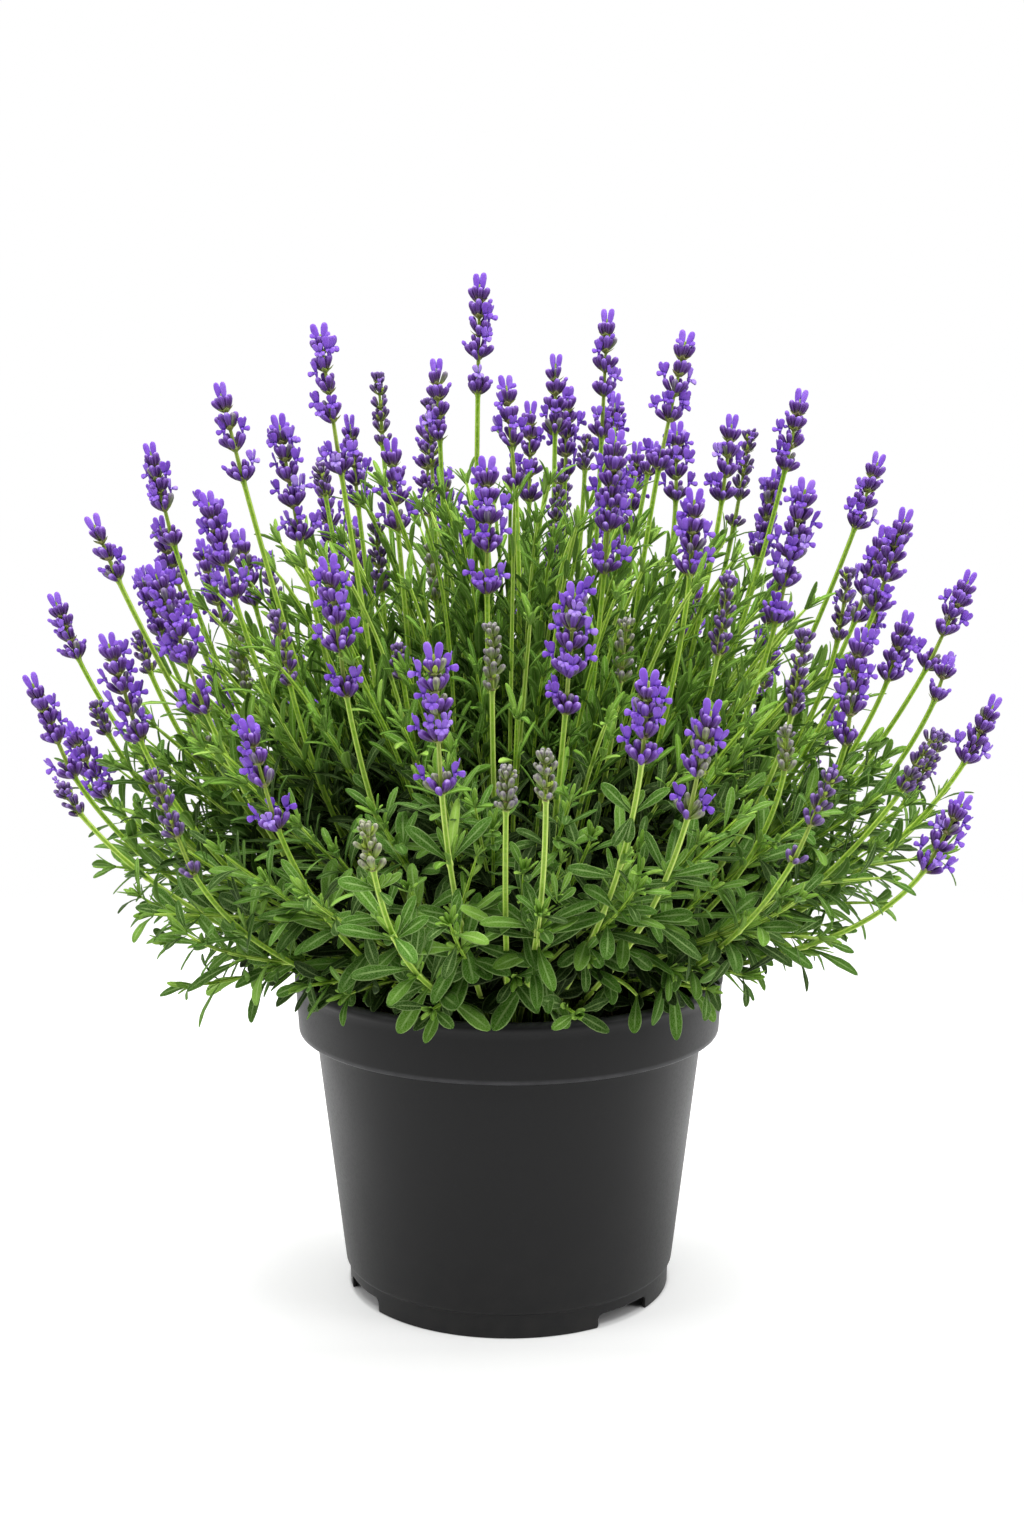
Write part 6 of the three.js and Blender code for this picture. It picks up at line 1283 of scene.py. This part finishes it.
def make_front():
    rng = np.random.default_rng(SEED + 80)
    a = np.array(FRONT_LEAVES, float); P, Tp, W, rn, bend = a[:, 0:3], a[:, 3:6], a[:, 6], a[:, 7], a[:, 8]
    n = len(a); chord = Tp - P; L = np.linalg.norm(chord, axis=1); c = chord / L[:, None]
    U = np.tile([0.0, -0.78, 0.62], (n, 1)) + rng.normal(0, 0.13, (n, 3)); U = U - (U * c).sum(1, keepdims=True) * c; U = unit(U)
    b = bend + 0.05; D = unit(c * np.cos(0.42 * b)[:, None] + U * np.sin(0.42 * b)[:, None])
    G = [plates(P, D, U, L * (1 + b * b / 16), W, 0.7, T_LARGE, O_LARGE, 10, 2, rn, bend=b, fold=rng.uniform(0.08, 0.26, n), twist=rng.normal(0, 0.12, n), roll=0.10, wave=0.10)]
    for C in FRONT_TWIGS:
        C = np.array(C, float); p = Path(bezier([C[0], C[0] * 0.4 + C[1] * 0.6, C[1] * 0.6 + C[2] * 0.4, C[2]], np.linspace(0, 1, 14)))
        G.append(stalk(p, 0, p.length, 1.25, 1.0, 8, 0, rng.random(), step=3.0, ends=(1.0, 0.8)))
    LV = Leaves()
    for A, B in FRONT_SHOOTS:
        A, B = np.array(A, float), np.array(B, float); d = B - A
        p = Path(bezier([A, A + d * 0.3 + [0, -1.5, 0], A + d * 0.7 + [0, -1.5, 0], B], np.linspace(0, 1, 20)))
        G.append(stalk(p, 0, p.length * 0.97, 1.1, 0.6, 8, 0, rng.random(), step=4.0, ends=(1.0, 0.6)))
        dress(rng, LV, p, p.length * 0.30, p.length * 0.98, 5.6, lambda z, f: (12.5 - 4.5 * f, 3.4 - 1.0 * f, 0.75, False), rng.uniform(0, 3), tone=0.35)
    rows = LV.rows; LV.rows = [r for r in rows]
    build("leaves_in_front", G + LV.groups(rng, 1, 2, keep_all=True), LEAF_MATS)

make_front()

# ---------------------------------------------------------------- floor, light and camera
def stage():
    # a pale floor that fades into the white surroundings, and a soft studio: white behind, above and at the sides, dim on the viewer's side
    R, K = 3.0, 96
    V = [(0.0, 0.0, 0.0)] + [(R * math.cos(2 * math.pi * k / K), R * math.sin(2 * math.pi * k / K), 0.0) for k in range(K)]
    ob = new_object("floor", V, [(0, 1 + k, 1 + (k + 1) % K) for k in range(K)], [], None, smooth=False)
    m = bpy.data.materials.new("floor_white"); m.use_nodes = True; t = m.node_tree; t.nodes.clear()
    def node(kind, **kw):
        q = t.nodes.new(kind)
        for k, v in kw.items(): setattr(q, k, v)
        return q
    out = node("ShaderNodeOutputMaterial"); dif = node("ShaderNodeBsdfDiffuse"); emi = node("ShaderNodeEmission"); add = node("ShaderNodeAddShader"); tr = node("ShaderNodeBsdfTransparent"); mx = node("ShaderNodeMixShader")
    dif.inputs[0].default_value = (0.72, 0.72, 0.72, 1); emi.inputs[0].default_value = (1, 1, 1, 1); emi.inputs[1].default_value = 0.66
    tc = node("ShaderNodeTexCoord"); ln = node("ShaderNodeVectorMath", operation="LENGTH"); mr = node("ShaderNodeMapRange", interpolation_type="SMOOTHSTEP")
    t.links.new(tc.outputs["Object"], ln.inputs[0]); t.links.new(ln.outputs["Value"], mr.inputs["Value"])
    mr.inputs["From Min"].default_value = 0.35; mr.inputs["From Max"].default_value = 1.1
    # the floor glows to stay white; the glow is cut off under the pot and kept weaker in front of it than behind: a
    # painted shadow round the foot and in front, and painted light over the shade behind
    painted_foot_shadow = node("ShaderNodeMapRange", interpolation_type="SMOOTHSTEP"); t.links.new(ln.outputs["Value"], painted_foot_shadow.inputs["Value"])
    for k, v in (("From Min", 0.0860), ("From Max", 0.0890), ("To Min", 0.0), ("To Max", 1.0)): painted_foot_shadow.inputs[k].default_value = v
    fy = node("ShaderNodeSeparateXYZ"); t.links.new(tc.outputs["Object"], fy.inputs[0])
    painted_front_shadow = node("ShaderNodeMapRange"); t.links.new(fy.outputs["Y"], painted_front_shadow.inputs["Value"])
    for k, v in (("From Min", -0.10), ("From Max", 0.10), ("To Min", 0.14), ("To Max", 0.66)): painted_front_shadow.inputs[k].default_value = v
    gm = node("ShaderNodeMath", operation="MULTIPLY"); t.links.new(painted_foot_shadow.outputs["Result"], gm.inputs[0]); t.links.new(painted_front_shadow.outputs["Result"], gm.inputs[1])
    t.links.new(gm.outputs[0], emi.inputs[1])
    t.links.new(dif.outputs[0], add.inputs[0]); t.links.new(emi.outputs[0], add.inputs[1])
    t.links.new(mr.outputs["Result"], mx.inputs[0]); t.links.new(add.outputs[0], mx.inputs[1]); t.links.new(tr.outputs[0], mx.inputs[2]); t.links.new(mx.outputs[0], out.inputs[0])
    ob.data.materials.append(m)
    w = bpy.data.worlds.new("studio"); bpy.context.scene.world = w; w.use_nodes = True; t = w.node_tree; t.nodes.clear()
    out = node("ShaderNodeOutputWorld"); tc = node("ShaderNodeTexCoord"); sp = node("ShaderNodeSeparateXYZ"); t.links.new(tc.outputs["Generated"], sp.inputs[0])
    def rng_of(src, a, b, lo, hi):
        q = node("ShaderNodeMapRange", interpolation_type="SMOOTHSTEP"); t.links.new(src, q.inputs["Value"])
        for k, v in (("From Min", a), ("From Max", b), ("To Min", lo), ("To Max", hi)): q.inputs[k].default_value = v
        return q.outputs["Result"]
    def op(kind, a, b=None):
        q = node("ShaderNodeMath", operation=kind)
        for k, v in enumerate((a, b)):
            if v is None: continue
            if isinstance(v, (int, float)): q.inputs[k].default_value = v
            else: t.links.new(v, q.inputs[k])
        return q.outputs[0]
    side = rng_of(op("ABSOLUTE", sp.outputs["X"]), 0.35, 0.95, 0.0, 0.50)
    back = rng_of(sp.outputs["Y"], -0.15, 0.75, 0.12, 0.85)
    top = rng_of(sp.outputs["Z"], 0.45, 0.95, 0.0, 0.5)
    light = op("ADD", op("ADD", side, back), top)
    below = op("LESS_THAN", sp.outputs["Z"], 0.0)
    light = op("ADD", op("MULTIPLY", light, op("SUBTRACT", 1.0, below)), op("MULTIPLY", below, 0.42))
    lit = node("ShaderNodeBackground"); seen = node("ShaderNodeBackground"); lp = node("ShaderNodeLightPath"); mx = node("ShaderNodeMixShader")
    t.links.new(light, lit.inputs[1]); seen.inputs[0].default_value = (1, 1, 1, 1); seen.inputs[1].default_value = 1.0
    t.links.new(lp.outputs["Is Camera Ray"], mx.inputs[0]); t.links.new(lit.outputs[0], mx.inputs[1]); t.links.new(seen.outputs[0], mx.inputs[2]); t.links.new(mx.outputs[0], out.inputs[0])
    lit.inputs[0].default_value = (1, 1, 1, 1)
    def area(name, loc, target, size, power, col=(1, 1, 1)):
        l = bpy.data.lights.new(name, "AREA"); l.shape = "RECTANGLE"; l.size, l.size_y = size; l.energy = power; l.color = col
        o = bpy.data.objects.new(name, l); bpy.context.scene.collection.objects.link(o); o.location = loc
        d = np.array(target) - np.array(loc); d = d / np.linalg.norm(d)
        from mathutils import Vector
        o.rotation_euler = Vector(d).to_track_quat("-Z", "Y").to_euler()
        o.visible_camera = False
        return o
    area("key", (0.05, -1.6, 2.85), (0, 0, 0.30), (1.4, 1.4), 72.0)
    area("side_left", (-2.0, -0.9, 1.1), (0, 0, 0.22), (1.0, 1.6), 19.0)
    area("side_right", (2.0, -0.9, 1.1), (0, 0, 0.22), (1.0, 1.6), 21.0)
    area("top", (0.0, 0.4, 2.6), (0, 0, 0.3), (1.4, 1.4), 36.0)
    bpy.context.scene.view_settings.view_transform = "Standard"
    bpy.context.scene.view_settings.look = "None"
    bpy.context.scene.view_settings.exposure = 0.0

stage()

cam = bpy.data.cameras.new("camera"); cam_ob = bpy.data.objects.new("camera", cam); bpy.context.scene.collection.objects.link(cam_ob)
cam.sensor_width = 36.0; cam.sensor_fit = "AUTO"; cam.lens = 48.96; cam.shift_x = 0.00202; cam.clip_end = 100.0
cam_ob.location = (0.0, -1.1, 0.4533); cam_ob.rotation_euler = (math.radians(90 - 8.8236), 0.0, 0.0)
bpy.context.scene.camera = cam_ob

count = sorted(((sum(len(p.vertices) - 2 for p in o.data.polygons), o.name) for o in bpy.data.objects if o.type == "MESH" and o.name != "floor"), reverse=True)
print("TRIANGLES", sum(c for c, _ in count), "pieces", len(count), count[:6])
